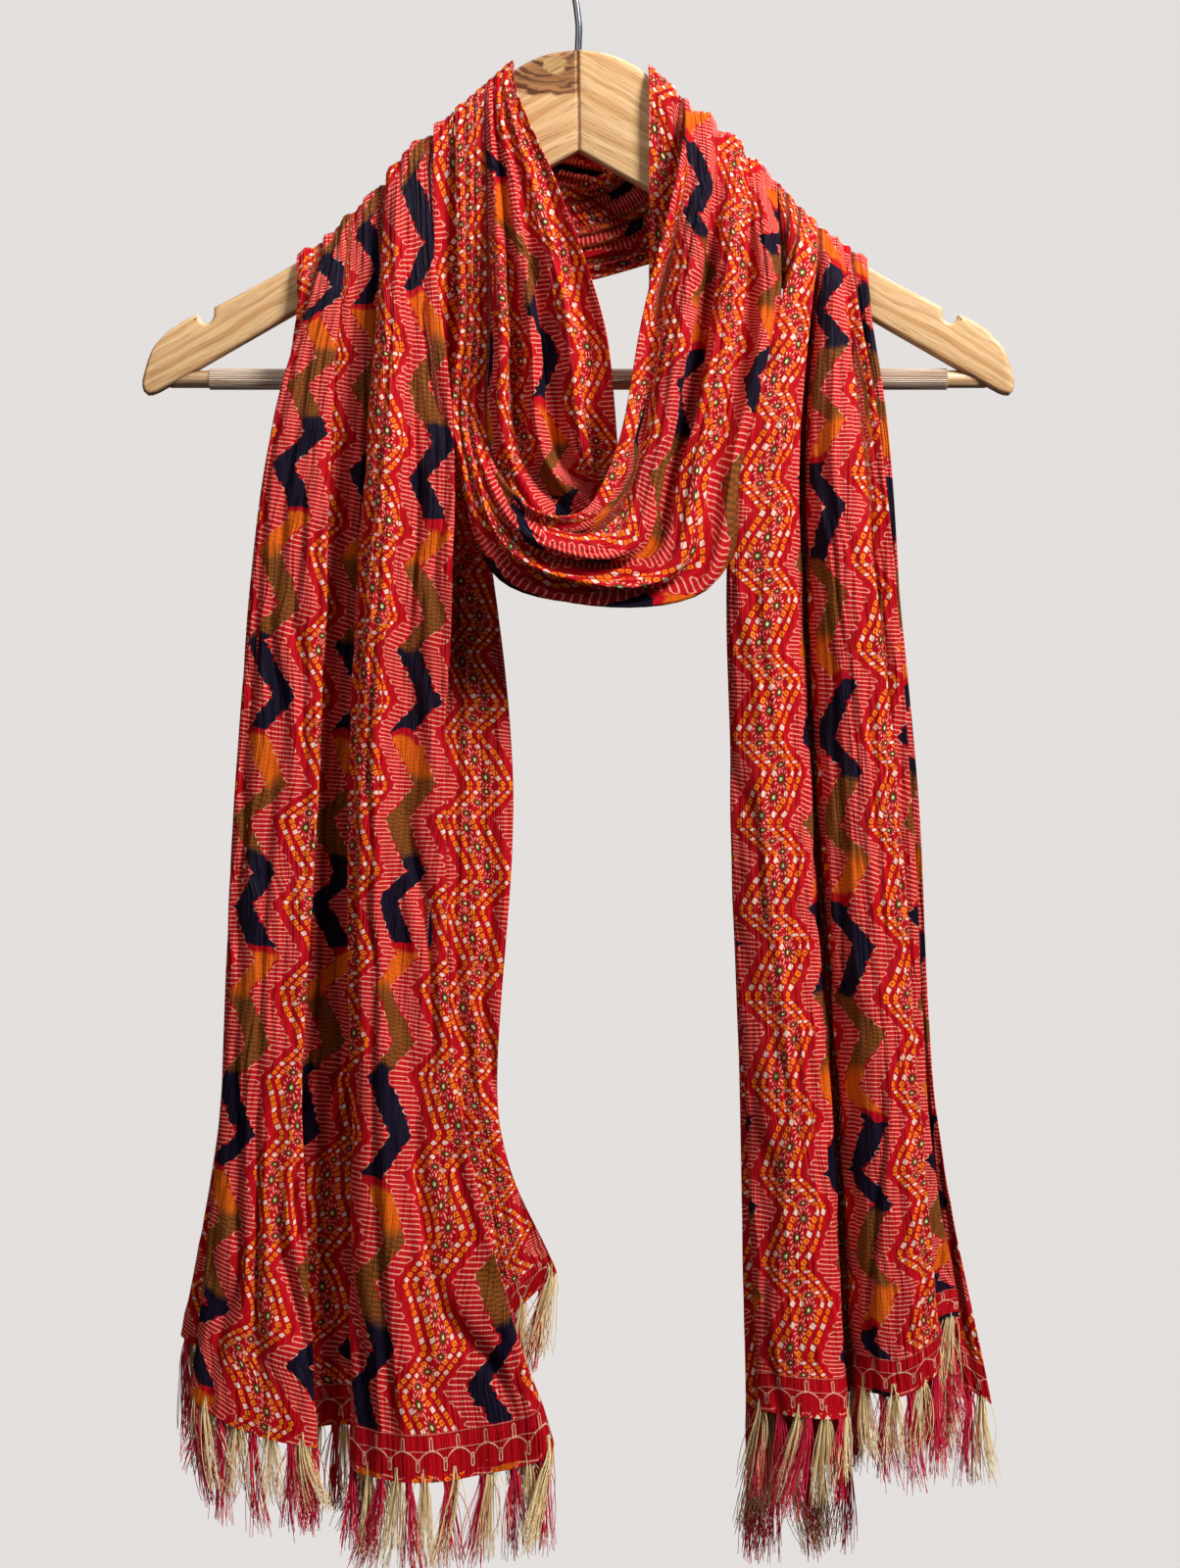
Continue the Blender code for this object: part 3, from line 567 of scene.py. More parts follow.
def piece_from(name, verts, quads, flat=None, materials=(), material_of=None, smooth_angle=50):
    """A mesh object from arrays of vertices in millimetres, quads and flat places in metres."""
    mesh = bpy.data.meshes.new(name)
    verts, quads = np.asarray(verts, float) * MM, np.asarray(quads, np.int32)
    mesh.vertices.add(len(verts))
    mesh.vertices.foreach_set("co", verts.ravel())
    mesh.loops.add(quads.size)
    mesh.loops.foreach_set("vertex_index", quads.ravel())
    mesh.polygons.add(len(quads))
    mesh.polygons.foreach_set("loop_start", np.arange(0, quads.size, quads.shape[1], np.int32))
    if material_of is not None:
        mesh.polygons.foreach_set("material_index", np.asarray(material_of, np.int32))
    mesh.update(calc_edges=True)
    if flat is not None:
        layer = mesh.uv_layers.new(name="flat_cloth")
        layer.data.foreach_set("uv", flat[quads.ravel()].ravel())
    mesh.shade_smooth()
    mesh.set_sharp_from_angle(angle=math.radians(smooth_angle))
    for material in materials:
        mesh.materials.append(material)
    return shown(name, mesh)


def rings_along(line, radii, sides, side_axis):
    """Points of a circle of each radius carried along a line, or along many lines at once.

    At each point the circle lies across the direction of the line, on two axes, the first of
    them square to both the line and side_axis.
    """
    way = unit(np.gradient(line, axis=-2))
    first = unit(np.cross(way, side_axis))
    second = np.cross(way, first)
    turn = TURN * np.arange(sides)[:, None] / sides
    ring = first[..., None, :] * np.cos(turn) + second[..., None, :] * np.sin(turn)
    return line[..., None, :] + ring * radii[..., None, None]


def rod(name, line, radii, sides, material):
    """A round rod with flat ends as a finished piece."""
    walls = rings_along(line, radii * np.ones(len(line)), sides, (0.0, 1.0, 0.0))
    verts = np.concatenate([walls.reshape(-1, 3), line[:1], line[-1:]])
    index = np.arange(len(line) * sides).reshape(-1, sides)
    start, end = index.size, index.size + 1
    head, foot = index[0], index[-1]
    corners = [(k, (k + 1) % sides, (k + 2) % sides) for k in range(0, sides, 2)]
    caps = [[start, head[c], head[b], head[a]] for a, b, c in corners]
    caps += [[end, foot[a], foot[b], foot[c]] for a, b, c in corners]
    faces = np.concatenate([walls_between(index[:-1], index[1:]), caps])
    return piece_from(name, verts, faces, materials=[material], smooth_angle=40)


# ---- materials


def tone(red, green, blue):
    """A colour as seen, 0 to 255, turned into the linear colour that a shader takes."""
    seen = np.array([red, green, blue]) / 255.0
    linear = np.where(seen <= 0.04045, seen / 12.92, ((seen + 0.055) / 1.055) ** 2.4)
    return (*linear.tolist(), 1.0)


# The two reds of the ground are the painted shade and the painted highlight of the crinkles; the
# brighter one is also the red in the middle of the amber squares.
RED_CRINKLE_SHADE, RED_BRIGHT_AND_CRINKLE_HIGHLIGHT, RED_DEEP = tone(178, 0, 14), tone(228, 10, 28), tone(168, 0, 22)
CORAL, PINK, CREAM = tone(226, 36, 44), tone(255, 172, 146), tone(255, 214, 190)
AMBER, ORANGE, HATCH = tone(255, 142, 16), tone(240, 100, 6), tone(176, 92, 30)
NAVY, OLIVE, LEAF, CORE = tone(20, 12, 34), tone(104, 58, 20), tone(62, 62, 22), tone(232, 222, 150)
RIBBON_LOW, RIBBON_HIGH = tone(160, 0, 14), tone(208, 6, 24)


class Signal:
    """A value on its way through a material. Arithmetic on it adds Math nodes."""

    def __init__(self, finish, socket):
        self.finish, self.socket = finish, socket

    def maths(self, operation, *values, clamp=False):
        settings = {"operation": operation, "use_clamp": clamp}
        return self.finish.node("ShaderNodeMath", settings, dict(enumerate(values)))

    def __add__(self, other):
        return self.maths("ADD", self, other)

    __radd__ = __add__

    def __sub__(self, other):
        return self.maths("SUBTRACT", self, other)

    def __rsub__(self, other):
        return self.maths("SUBTRACT", other, self)

    def __mul__(self, other):
        return self.maths("MULTIPLY", self, other)

    __rmul__ = __mul__

    def __truediv__(self, other):
        return self.maths("DIVIDE", self, other)

    def __rtruediv__(self, other):
        return self.maths("DIVIDE", other, self)

    def __abs__(self):
        return self.maths("ABSOLUTE", self)

    def least(self, other):
        return self.maths("MINIMUM", self, other)

    def most(self, other):
        return self.maths("MAXIMUM", self, other)

    def root(self):
        return self.maths("SQRT", self)

    def part(self):
        """What is left over the whole number below."""
        return self.maths("FRACT", self)

    def off_middle(self, pitch=1.0):
        """Distance from the middle of each repeat, as a share of the pitch."""
        return abs((self * (1.0 / pitch)).part() - 0.5)

    def under(self, edge, soft):
        """1 where the value is under the edge, 0 where it is over, in a step that is soft wide."""
        return self.maths("MULTIPLY_ADD", self, -1.0 / soft, edge / soft + 0.5, clamp=True)

    def over(self, edge, soft):
        """1 where the value is over the edge, 0 where it is under."""
        return self.maths("MULTIPLY_ADD", self, 1.0 / soft, 0.5 - edge / soft, clamp=True)


class Finish:
    """One material: its shader with the constants set, and one way to add any node."""

    def __init__(self, name, **constants):
        self.material = bpy.data.materials.new(name)
        self.material.use_nodes = True
        self.tree = self.material.node_tree
        self.shader = self.tree.nodes["Principled BSDF"]
        for socket, value in constants.items():
            self.shader.inputs[socket.replace("_", " ")].default_value = value

    def node(self, kind, settings=None, inputs=None, output=0):
        """Adds a node: its settings first, then the values or links of its sockets."""
        made = self.tree.nodes.new(kind)
        for key, value in (settings or {}).items():
            setattr(made, key, value)
        for key, value in (inputs or {}).items():
            self.join(value, made.inputs[key])
        return Signal(self, made.outputs[output])

    def join(self, value, socket):
        if isinstance(value, Signal):
            self.tree.links.new(value.socket, socket)
        else:
            socket.default_value = value

    def split(self, vector):
        """The three numbers of a vector."""
        first = self.node("ShaderNodeSeparateXYZ", None, {0: vector})
        outputs = first.socket.node.outputs
        return [Signal(self, outputs[k]) for k in range(3)]

    def flat_cloth(self):
        """Place on the flat cloth in millimetres, across and along."""
        place = self.node("ShaderNodeUVMap", {"uv_map": "flat_cloth"})
        across, along, _ = self.split(place)
        return across * 1000.0, along * 1000.0

    def at_object(self):
        """Place in the hanger's frame in millimetres: x, y, z."""
        place = self.node("ShaderNodeTexCoord", None, None, "Object")
        return [axis * 1000.0 for axis in self.split(place)]

    def noise(self, x, y, z=0.0, detail=2.0):
        """Uneven values about one half over three coordinates, each already scaled."""
        place = self.node("ShaderNodeCombineXYZ", None, {0: x, 1: y, 2: z})
        inputs = {"Vector": place, "Scale": 1.0, "Detail": detail}
        return self.node("ShaderNodeTexNoise", None, inputs)

    def blend(self, mask, below, above):
        """One colour laid over another where the mask is 1."""
        settings = {"data_type": "RGBA", "clamp_factor": True}
        return self.node("ShaderNodeMix", settings, {0: mask, 6: below, 7: above}, 2)

    def bump(self, height, distance, strength=1.0):
        """Normals tilted by a height, which spans the distance in metres."""
        inputs = {"Height": height, "Distance": distance, "Strength": strength}
        return self.node("ShaderNodeBump", None, inputs)

    def set(self, **links):
        """Joins signals to the shader's sockets."""
        for socket, value in links.items():
            self.join(value, self.shader.inputs[socket.replace("_", " ")])


# The print: sizes in millimetres on the flat cloth.
REPEAT, FIRST_BLOT, ZIGZAG, SWING = 71.0, 30.0, 43.84, 8.0
QUICK_LEFT, QUICK_RIGHT = 0.37, 0.63
TURN_START, BLOT_START = 0.19, 95.8
INNER_ROW, OUTER_ROW, SQUARE = 5.7, 11.0, 1.12
SCRIBBLE_AT, SCRIBBLE_HALF, SCRIBBLE_PITCH = 23.2, 4.6, 2.15
BLOT_HALF, BLOT_REPEAT = 6.4, 109.6
OLIVE_AT, ORANGE_AT = 47.0, 86.0
BAND_FROM, CELL, TURNED_UNDER = 2.6, 14.5, 180.0


def printed_cloth(length):
    """The tie-dye style print of zigzag bands on crinkled crimson cloth, with its hem borders."""
    f = Finish("printed_cloth", Roughness=0.5, Specular_IOR_Level=0.12)
    u, v = f.flat_cloth()

    # The zigzag: how far each place is from the middle line of its repeat, and the slope there.
    wobble = f.noise(u * 0.05, v * 0.04)
    turn = (v * (1.0 / ZIGZAG) + TURN_START).part()
    quick = QUICK_LEFT + (QUICK_RIGHT - QUICK_LEFT) * (v - 800.0).over(450.0, 700.0)
    rise = (turn / quick).least(1.0)
    fall = ((turn - quick) / (1.0 - quick)).most(0.0)
    swing = (rise - fall - 0.5) * (2.0 * SWING) + (wobble - 0.5) * 6.0
    signed = (((u - swing - FIRST_BLOT) * (1.0 / REPEAT)).part() - 0.5) * REPEAT
    x = abs(signed)
    steep = (quick - QUICK_LEFT) * (1.0 / (QUICK_RIGHT - QUICK_LEFT))
    rising = (quick - turn).over(0.0, 0.02)
    slope = rising * 1.2 - 0.5 - steep * 0.2
    upright = (1.0 - slope * slope).root()
    right_side = signed.over(0.0, 0.01)
    sign = right_side * 2.0 - 1.0

    # The red ground, streaked along the cloth. The fine streaks are the same noise as the crinkle
    # bump, so the colour is a painted highlight on the raised crinkles and a painted shade in their
    # grooves; the cloudy patches are a random deeper tone.
    fine = f.noise(u * 1.15, v * 0.05, detail=3.0)
    cloudy = f.noise(u * 0.03, v * 0.025)
    weave = f.noise(u * 2.6, v * 2.6, detail=1.0)
    cloth = f.blend(fine.over(0.55, 0.35), RED_CRINKLE_SHADE, RED_BRIGHT_AND_CRINKLE_HIGHLIGHT)
    cloth = f.blend(cloudy.over(0.5, 0.5) * 0.5, cloth, RED_DEEP)

    around = abs(x - SCRIBBLE_AT)
    cloth = f.blend(around.under(6.5, 3.0) * 0.3, cloth, CORAL)

    # The band with combed edges, from navy through hatched olive to orange.
    comb = v.off_middle(3.1) * 3.0
    edge = x + comb + (f.noise(u * 0.12, v * 0.11) - 0.5) * 8.0
    inside = edge.over(REPEAT / 2 - BLOT_HALF + 0.8, 0.4)
    along = ((v + BLOT_START + (wobble - 0.5) * 20.0) * (1.0 / BLOT_REPEAT)).part() * BLOT_REPEAT
    hatch = (v * (1.0 / 2.05) + signed * 0.05).off_middle().under(0.26, 0.16)
    ink = f.blend(along.over(OLIVE_AT, 3.0), NAVY, OLIVE)
    ink = f.blend(along.over(ORANGE_AT, 6.0), ink, ORANGE)
    ink = f.blend(hatch * along.over(OLIVE_AT, 3.0) * 0.5, ink, HATCH)
    bare = along.over(BLOT_REPEAT - 4.0, 2.0)
    cloth = f.blend(inside * (1.0 - bare), cloth, ink)

    # The close running line: straight strokes joined by half turns at both sides.
    lean = (f.noise(v * 0.006, 5.0) - 0.4) * 0.5
    stroke = v * (1.0 / SCRIBBLE_PITCH) + signed * lean + right_side
    stroke = stroke + (x - SCRIBBLE_AT).over(0.0, 0.01)
    off_turn = stroke.maths("PINGPONG", stroke, 1.0) * SCRIBBLE_PITCH
    uneven = (f.noise(u * 0.2, v * 0.33) - 0.5) * 4.4
    past = (around + uneven - SCRIBBLE_HALF).most(0.0)
    reach = (past * past + off_turn * off_turn).root()
    line = abs(reach - SCRIBBLE_PITCH / 2).under(0.24, 0.24)
    cloth = f.blend(line, cloth, PINK)

    # The rows of small tied squares: every third is cream, and the others are amber.
    squares = rise * 8.0 + fall * 10.0
    spot = (squares.part() - 0.5) * 3.1
    third = ((squares - squares.part()) * (1.0 / 3.0)).part().under(0.2, 0.02)
    for row in (INNER_ROW, OUTER_ROW):
        off = (x - row) * sign
        box = abs(spot + off * slope).most(abs(off) * upright)
        gold = f.blend(box.under(0.42, 0.25), AMBER, RED_BRIGHT_AND_CRINKLE_HIGHLIGHT)
        cloth = f.blend(box.under(SQUARE, 0.3), cloth, f.blend(third, gold, CREAM))

    # The dots along the middle line, each in a ring of dashes.
    flowers = rise * 3.0 + fall * 3.0
    pitch = 7.6 + 3.0 * abs(rising - steep)
    a = (flowers.part() - 0.5) * pitch + signed * slope
    b = signed * upright
    far = (a * a + b * b).root()
    angle = a.maths("ARCTAN2", a, b)
    dash = angle.maths("COSINE", angle * 12.0).over(0.35, 0.5)
    cloth = f.blend(abs(far - 3.1).under(0.62, 0.3) * dash, cloth, PINK)
    cloth = f.blend(far.under(1.65, 0.35), cloth, LEAF)
    cloth = f.blend(far.under(0.7, 0.3), cloth, CORE)

    # The border at the hems: a ribbed ribbon with a chain, small loops and a stitch line.
    ragged = (f.noise(u * 0.08, 3.0) - 0.5) * 3.0
    hem = v.least(length - v)
    band = (hem + ragged).over(BAND_FROM, 0.4) * hem.under(BORDER, 0.5)
    band = band * u.over(TURNED_UNDER, 1.0).most(v.over(BORDER * 2.0, 1.0))
    rib = u.off_middle(1.05).over(0.25, 0.2)
    ribbon = f.blend(rib, RIBBON_LOW, RIBBON_HIGH)
    cell = u.off_middle(CELL) * CELL
    peak = (1.0 - cell * (2.0 / CELL)).most(0.0)
    bent = peak * peak * peak * 0.7 + peak * 0.3
    chain = abs(hem - 12.6 + bent * 5.0).under(0.42, 0.25)
    low_pin = capsule(cell, hem, 5.0, 8.6)
    high_pin = capsule(CELL / 2 - cell, hem, 13.0, 17.0)
    slack = (f.noise(u * 0.035, 9.0) - 0.5) * 5.0
    stitch = abs(hem - 12.3 + slack).under(0.2, 0.2) * 0.8
    edge_line = abs(hem - BORDER + 0.5).under(0.22, 0.2) * 0.45
    drawn = chain.most(low_pin).most(high_pin).most(stitch).most(edge_line)
    cloth = f.blend(band, cloth, f.blend(drawn, ribbon, PINK))

    crinkle = f.noise(u * 0.4, v * 0.025, 3.0)
    height = fine * 0.8 + weave * 0.16 + crinkle * 2.2 + drawn * band * 0.5
    f.set(Base_Color=cloth, Normal=f.bump(height, 0.0019, 1.0))
    return f.material


def capsule(across, up, low, high):
    """A thin upright loop: the distance to the line from low to high, near 0.75 millimetres."""
    past = (low - up).most(up - high).most(0.0)
    far = (across * across + past * past).root()
    return abs(far - 0.75).under(0.32, 0.25)


def thread(name, dark, light):
    """Shiny twisted thread whose tone changes from strand to strand and along them."""
    f = Finish(name, Roughness=0.36, Specular_IOR_Level=0.4)
    x, y, z = f.at_object()
    streak = f.noise(x * 1.3, y * 1.3, z * 0.05)
    f.set(Base_Color=f.blend(streak.over(0.5, 0.35), dark, light))
    return f.material


def oak(name, side):
    """Pale lacquered oak with its grain along one arm, and by the neck a dark streaked band."""
    f = Finish(name, Roughness=0.42, Specular_IOR_Level=0.3, Coat_Weight=0.12, Coat_Roughness=0.3)
    x, y, z = f.at_object()
    slope = math.atan(0.56)
    along = x * (side * math.cos(slope)) - z * math.sin(slope)
    across = x * (side * math.sin(slope)) + z * math.cos(slope) + y * 0.35
    bend = f.noise(along * 0.012, across * 0.03, 4.0 + side) * 14.0
    rings = f.noise((across + bend) * 0.32, along * 0.006, detail=4.0)
    pores = f.noise((across + bend) * 1.9, along * 0.07, y * 0.6, detail=2.0)
    wood = f.blend(rings.over(0.5, 0.3), tone(204, 152, 98), tone(236, 196, 146))
    wood = f.blend(pores.over(0.61, 0.12) * 0.55, wood, tone(150, 104, 62))
    if side < 0:
        from_knot = (x + 14.0) * (x + 14.0) * 0.55 + (z + 74.0) * (z + 74.0) * 1.6
        far = from_knot.root() + (f.noise(x * 0.08, z * 0.2) - 0.5) * 9.0
        band = far.under(31.0, 2.5)
        swirl = f.noise(far * 0.42, x * 0.02, detail=4.0)
        knot = f.blend(swirl.over(0.5, 0.18), tone(96, 58, 34), tone(176, 122, 76))
        wood = f.blend(band, wood, knot)
        chip = (x + 12.0) * (x + 12.0) + (z + 83.0) * (z + 83.0) * 1.3
        ragged = (f.noise(x * 0.34, z * 0.34, detail=4.0) - 0.5) * 9.0
        chip = chip.root() + ragged
        flake = f.blend(pores.over(0.5, 0.3), tone(206, 168, 112), tone(158, 116, 70))
        wood = f.blend(chip.under(5.6, 1.2), wood, flake)
    height = rings * 0.6 - pores * 0.7
    f.set(Base_Color=wood, Normal=f.bump(height, 0.0005, 0.5))
    return f.material


def steel():
    """Drawn steel wire with faint lengthwise scratches."""
    f = Finish("steel", Metallic=1.0, Base_Color=tone(176, 178, 182))
    x, y, z = f.at_object()
    f.set(Roughness=f.noise(x * 1.6, y * 1.6, z * 0.1) * 0.25 + 0.16)
    return f.material


def clear_sleeve():
    """Clear ribbed plastic over the wooden bar: a wood-brown tint for the bar seen through it, with
    pale streaks along it that are painted highlights.
    """
    f = Finish("clear_sleeve", Roughness=0.16, Coat_Weight=0.6, Coat_Roughness=0.08)
    x, y, z = f.at_object()
    streak = f.noise(z * 1.6, y * 1.6, x * 0.02, detail=3.0)
    # The browner tone is the wood seen through; the pale streaks along the tube are painted
    # highlights, and the plastic is more opaque where they lie.
    wood_tint_and_highlight = f.blend(streak.over(0.5, 0.25), tone(186, 146, 112), tone(240, 224, 206))
    f.set(Base_Color=wood_tint_and_highlight, Alpha=streak.over(0.5, 0.3) * 0.25 + 0.6)
    return f.material


# ---- the fringe


def tassel_threads(root, down, out, start, seed):
    """Threads of one tassel as (thread, point, xyz) with their radii (thread, point).

    A thread leaves the hem inside a narrow bundle, which draws in over its first fifth and then
    spreads with the square of the way down. It also swings in a slow bow of its own. The way
    down is the share w of its length, along the cloth at first and then straight down.
    """
    random = np.random.default_rng(seed)
    w = np.linspace(0.0, 1.0, 8)[None, :, None]
    each = (THREADS, 1, 1)
    angle = random.uniform(0.0, TURN, each)
    size = np.sqrt(random.uniform(0.0, 1.0, each))
    side = unit(np.cross(out, down))
    level = np.array([0.0, 0.0, -1.0])
    cluster = side * np.cos(angle) + out * np.sin(angle) * 0.7
    bundle = 2.2 * (1.0 - 0.4 * ease(w, 0.0, 0.2)) + random.uniform(4.0, 9.0) * w**1.5
    sway = random.normal(0.0, 1.0, (1, 1, 1)) * 5.0 * side + random.normal(0.0, 1.0) * 1.2 * out
    stray = 1.3 + 3.0 * (random.uniform(0.0, 1.0, each) > 0.86)
    bow = random.normal(0.0, 1.0, each) * stray * side
    bow = bow + random.normal(0.0, 1.0, each) * out
    length = THREAD_LENGTH * random.uniform(0.78, 1.1, each) * random.uniform(0.84, 1.08)
    falls = down * (1 - ease(w, 0.0, 0.5)) + level * ease(w, 0.0, 0.5)
    line = root - down * start + out * 0.7 + cluster * size * bundle
    line = line + falls * length * w + sway * w**1.6 + bow * np.sin(w * 2.6) * 1.2
    radii = THREAD_RADIUS * (1.0 - 0.35 * w[..., 0]) * np.ones((THREADS, 1))
    return line, radii


def fringe(name, hem, down, out, tints, node):
    """All the tassels along a hem as one piece: every thread a three-sided tapering tube."""
    knots = distances(hem)
    count = int(knots[-1] / TASSEL_PITCH)
    uneven = np.random.default_rng(len(name)).uniform(-0.32, 0.32, count)
    places = (np.arange(count) + 0.5 + uneven) / count * knots[-1]

    def read(values):
        return np.stack([np.interp(places, knots, values[:, k]) for k in range(3)], axis=1)

    roots, ways, outs = read(hem), unit(read(down)), unit(read(out))
    lines, radii, colour = [], [], []
    for k in range(count):
        gold = k % 2 == 0
        start = GOLD_START if gold else 1.0
        line, radius = tassel_threads(roots[k], ways[k], outs[k], start, 100 + k)
        lines.append(line)
        radii.append(radius)
        colour.append(np.full(THREADS, 0 if gold else 1))
    lines, radii = np.concatenate(lines), np.concatenate(radii)
    colour = np.concatenate(colour)
    walls = rings_along(lines, radii, 3, (0.31, 0.95, 0.0))
    index = np.arange(walls.size // 3).reshape(walls.shape[:3])
    faces = walls_between(index[:, :-1], index[:, 1:])
    per_face = np.repeat(colour, len(faces) // len(colour))
    piece = piece_from(name, walls.reshape(-1, 3), faces, None, tints, per_face, 180)
    dress(piece, node)


# ---- the hanger


def arm_outline():
    """Outline of the right arm as (x, z), from the mitre outwards along the top and back below."""
    reach = np.linspace(MITRE_GAP, NOTCH_X - NOTCH_RADIUS, 70)
    top = np.stack([reach, -arm_top(reach)], axis=1)
    level = arm_top(np.array([NOTCH_X]))[0]
    turns = np.radians(np.linspace(196, 344, 14))
    notch = np.stack(
        [NOTCH_X + NOTCH_RADIUS * np.cos(turns), NOTCH_DEPTH * np.sin(turns) - level - 0.5], axis=1
    )
    reach = np.linspace(NOTCH_X + NOTCH_RADIUS + 0.8, 221.4, 24)
    tip = np.stack([reach, -arm_top(reach)], axis=1)
    nose = np.array([(222.0, -243.5), (222.0, -246.5), (221.3, -249.0), (219.6, -250.6)])
    heel = np.array([(217.0, -250.4), (214.0, -249.2)])
    reach = np.linspace(209.0, MITRE_GAP, 40)
    under = np.stack([reach, -(APEX_DROP + UNDERSIDE_SLOPE * reach)], axis=1)
    return np.concatenate([top, notch, tip, nose, heel, under])


def drawn_in(outline, distance):
    """The outline moved inwards: each corner goes along the mean of its two edges' normals,
    far enough for both edges to move by the distance."""
    edges = unit(np.roll(outline, -1, axis=0) - outline)
    normal = np.stack([edges[:, 1], -edges[:, 0]], axis=1)
    mean = unit(normal + np.roll(normal, 1, axis=0))
    reach = np.clip((mean * normal).sum(axis=1, keepdims=True), 0.55, 1.0)
    return outline + mean * distance / reach


def arm(name, side, material, node):
    """One arm: its outline drawn in by r - r cos a at a depth of r - r sin a from each face, so
    that both rims are rounded, with a flat face closing each end."""
    outline = arm_outline()
    rings = []
    half, r = ARM_THICKNESS / 2, ARM_ROUNDING
    turns = np.radians([90, 67, 45, 22, 0])
    for depth, angles in ((-1, turns), (1, turns[::-1])):
        for a in angles:
            flat = drawn_in(outline, r - r * math.cos(a))
            y = np.full(len(flat), depth * (half - r + r * math.sin(a)))
            rings.append(np.stack([flat[:, 0] * side, y, flat[:, 1]], axis=1))
    rings = np.array(rings)
    count = rings.shape[1]
    index = np.arange(rings.shape[0] * count).reshape(-1, count)
    quads = walls_between(index[:-1], index[1:])
    faces = quads.tolist() + [index[0][::-1].tolist(), index[-1].tolist()]
    if side < 0:
        faces = [face[::-1] for face in faces]
    mesh = plain_mesh(name, (rings.reshape(-1, 3) * MM).tolist(), faces, material)
    mesh.shade_smooth()
    mesh.set_sharp_from_angle(angle=math.radians(38))
    dress(shown(name, mesh), node)


def hook_route():
    """The wire's route: straight up the stem, then smoothly round the hook above it."""
    bend = HOOK_RADIUS + WIRE_RADIUS
    turns = np.radians(np.linspace(-62, 205, 24))
    arc = np.stack([-bend * np.cos(turns), -HOOK_RADIUS + bend * np.sin(turns)], axis=1)
    route = np.concatenate([[(0.0, -STEM_END), (0.0, -75.0), (0.0, -59.0)], arc])
    knots = distances(route)
    line = smooth_through(knots, route, np.linspace(0, knots[-1], 110))
    return np.stack([line[:, 0], np.zeros(len(line)), line[:, 1]], axis=1)


def ribbed_sleeve(material):
    """The sleeve over the bar: a round tube whose radius has a small cosine rib round it."""
    sides = SLEEVE_RIBS * 4
    turn = TURN * np.arange(sides) / sides
    outer = SLEEVE_RADIUS + 0.22 * np.cos(SLEEVE_RIBS * turn)
    inner = np.full(sides, BAR_RADIUS + 0.15)
    rings = []
    for x, radius in ((-1, inner), (-1, outer), (1, outer), (1, inner)):
        y, z = radius * np.cos(turn), radius * np.sin(turn) - BAR_DROP
        rings.append(np.stack([np.full(sides, x * SLEEVE_HALF), y, z], axis=1))
    index = np.arange(4 * sides).reshape(4, sides)
    quads = walls_between(index, np.roll(index, -1, axis=0))
    piece = piece_from("ribbed_sleeve", np.concatenate(rings), quads, materials=[material])
    dress(piece, "bar_sleeve")


def hanger():
    """The two oak arms, the bar with its sleeve, and the wire hook."""
    arm("arm_of_oak_right", 1, oak("oak_right", 1.0), "arm_right")
    arm("arm_of_oak_left", -1, oak("oak_left", -1.0), "arm_left")
    ends = np.array([-BAR_HALF, -BAR_HALF + 1.0, 0.0, BAR_HALF - 1.0, BAR_HALF])
    line = np.stack([ends, np.zeros(5), np.full(5, -BAR_DROP)], axis=1)
    radii = np.array([BAR_END_RADIUS, BAR_RADIUS, BAR_RADIUS, BAR_RADIUS, BAR_END_RADIUS])
    dress(rod("trouser_bar", line, radii, 32, bar_wood()), "bar")
    ribbed_sleeve(clear_sleeve())
    dress(rod("wire_hook", hook_route(), WIRE_RADIUS, 16, steel()), "hook")


def bar_wood():
    """Plain turned wood for the bar, with its grain along it."""
    f = Finish("bar_wood", Roughness=0.45)
    x, y, z = f.at_object()
    grain = f.noise(z * 0.9, y * 0.9, x * 0.012, detail=3.0)
    f.set(Base_Color=f.blend(grain.over(0.5, 0.3), tone(186, 142, 96), tone(220, 184, 140)))
    return f.material


# ---- the stole


def stole():
    """The five stretches of cloth and the two fringes."""
    net, cuts = whole_net()
    knots = lengths_along(net)
    across = np.linspace(0.0, LINES - 1.0, (LINES - 1) * SAMPLES_PER_FOLD + 1)
    cotton = printed_cloth(float(knots[-1]))
    tints = [
        thread("gold_thread", tone(222, 178, 112), tone(255, 236, 186)),
        thread("red_thread", tone(188, 8, 40), tone(240, 52, 84)),
    ]
    for i, (node, step, cut, rests_on) in enumerate(STRETCHES):
        start, end = knots[cuts[i]], knots[cuts[i + 1]]
        along = np.linspace(start, end, int((end - start) / step) + 2)
        points, normals, ahead, places = cloth_surface(net, knots, cuts, along, across)
        from_hem = np.minimum(along, knots[-1] - along)
        thickness = WALL + (HEM_WALL - WALL) * (1.0 - ease(from_hem, BORDER - 1.5, BORDER + 1.5))
        verts, quads, flat = shell(points, normals, places, thickness)
        piece = piece_from("stole_" + node, verts, quads, flat, [cotton])
        dress(piece, node)
        if node == "tail_left":
            fringe("threads_left", points[0], -ahead[0], normals[0], tints, "fringe_left")
        if node == "tail_right":
            fringe("threads_right", points[-1], ahead[-1], normals[-1], tints, "fringe_right")


# ---- studio and camera

AIM = (0.006, 0.0, -0.449)
CAMERA_AWAY = 2.2
FRAME_HEIGHT = 0.8
ROOM_HALF, FLOOR, CEILING = 5.0, -2.1, 4.0
WALL_GLOW = 0.7

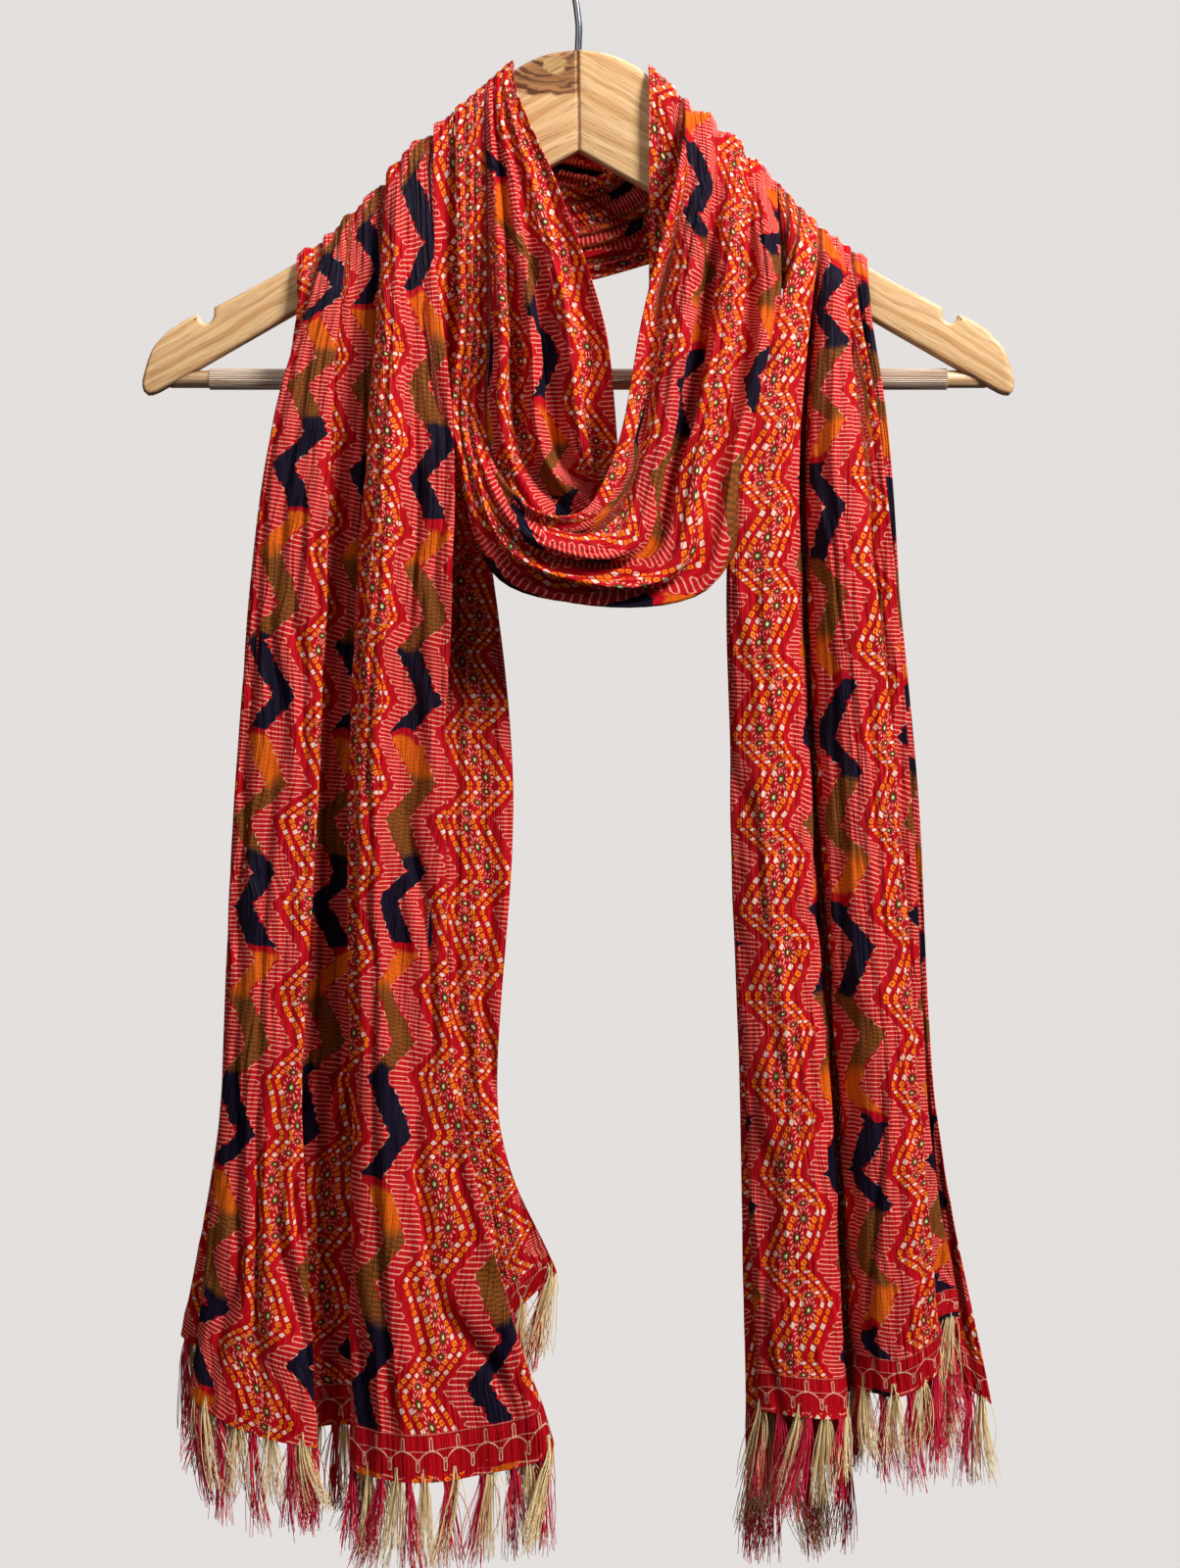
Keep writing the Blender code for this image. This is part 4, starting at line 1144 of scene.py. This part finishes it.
# The lamps: name, place, size in metres and power in watts.
LAMPS = (
    ("key", (1.5, -1.3, 1.2), 0.7, 98.0),
    ("fill", (-1.6, -2.2, 0.3), 1.8, 9.0),
    ("top", (-0.3, -0.5, 1.6), 0.8, 18.0),
    ("behind", (0.9, 2.4, 1.2), 1.2, 60.0),
)


def plane(name, corners, material):
    """One flat face of the studio, which doesn't light the stole."""
    face = shown(name, plain_mesh(name, corners, [(0, 1, 2, 3)], material))
    face.visible_diffuse = face.visible_glossy = False


def lamp(name, place, size, power):
    """A large soft light at a place, turned towards the stole."""
    light = bpy.data.lights.new(name, "AREA")
    light.shape, light.size, light.energy = "SQUARE", size, power
    stand = shown(name, light)
    stand.location = place
    way = np.array(AIM) - np.array(place)
    flat = math.hypot(way[0], way[1])
    stand.rotation_euler = (math.atan2(flat, -way[2]), 0.0, math.atan2(-way[0], way[1]))


def studio():
    """A pale floor and pale walls, which the cloth is not lit by, and the soft lamps."""
    paint = Finish(
        "wall_paint",
        Roughness=0.9,
        Base_Color=tone(150, 149, 148),
        Emission_Color=tone(255, 250, 247),
        Emission_Strength=WALL_GLOW,
    ).material
    around = [(-1, -1), (1, -1), (1, 1), (-1, 1)]
    around = [(x * ROOM_HALF, y * ROOM_HALF) for x, y in around]
    low, high = ([(x, y, z) for x, y in around] for z in (FLOOR, CEILING))
    plane("floor", low, paint)
    plane("ceiling", high, paint)
    for k in range(4):
        after = (k + 1) % 4
        plane(f"wall_{k + 1}", [low[k], low[after], high[after], high[k]], paint)
    for name, place, size, power in LAMPS:
        lamp(name, place, size, power)
    world = bpy.data.worlds.new("pale_room")
    world.use_nodes = True
    background = world.node_tree.nodes["Background"]
    background.inputs["Color"].default_value = tone(236, 238, 242)
    background.inputs["Strength"].default_value = 0.05
    bpy.context.scene.world = world
    bpy.context.scene.view_settings.view_transform = "Standard"


def camera():
    """Looks straight at the stole from the front, as the photograph does."""
    eye = bpy.data.cameras.new("camera")
    eye.sensor_width = 36.0
    eye.lens = eye.sensor_width * CAMERA_AWAY / FRAME_HEIGHT
    stand = shown("camera", eye)
    stand.location = (AIM[0], -CAMERA_AWAY, AIM[2])
    stand.rotation_euler = (math.pi / 2, 0.0, 0.0)
    bpy.context.scene.camera = stand


camera()
studio()
hanger()
stole()
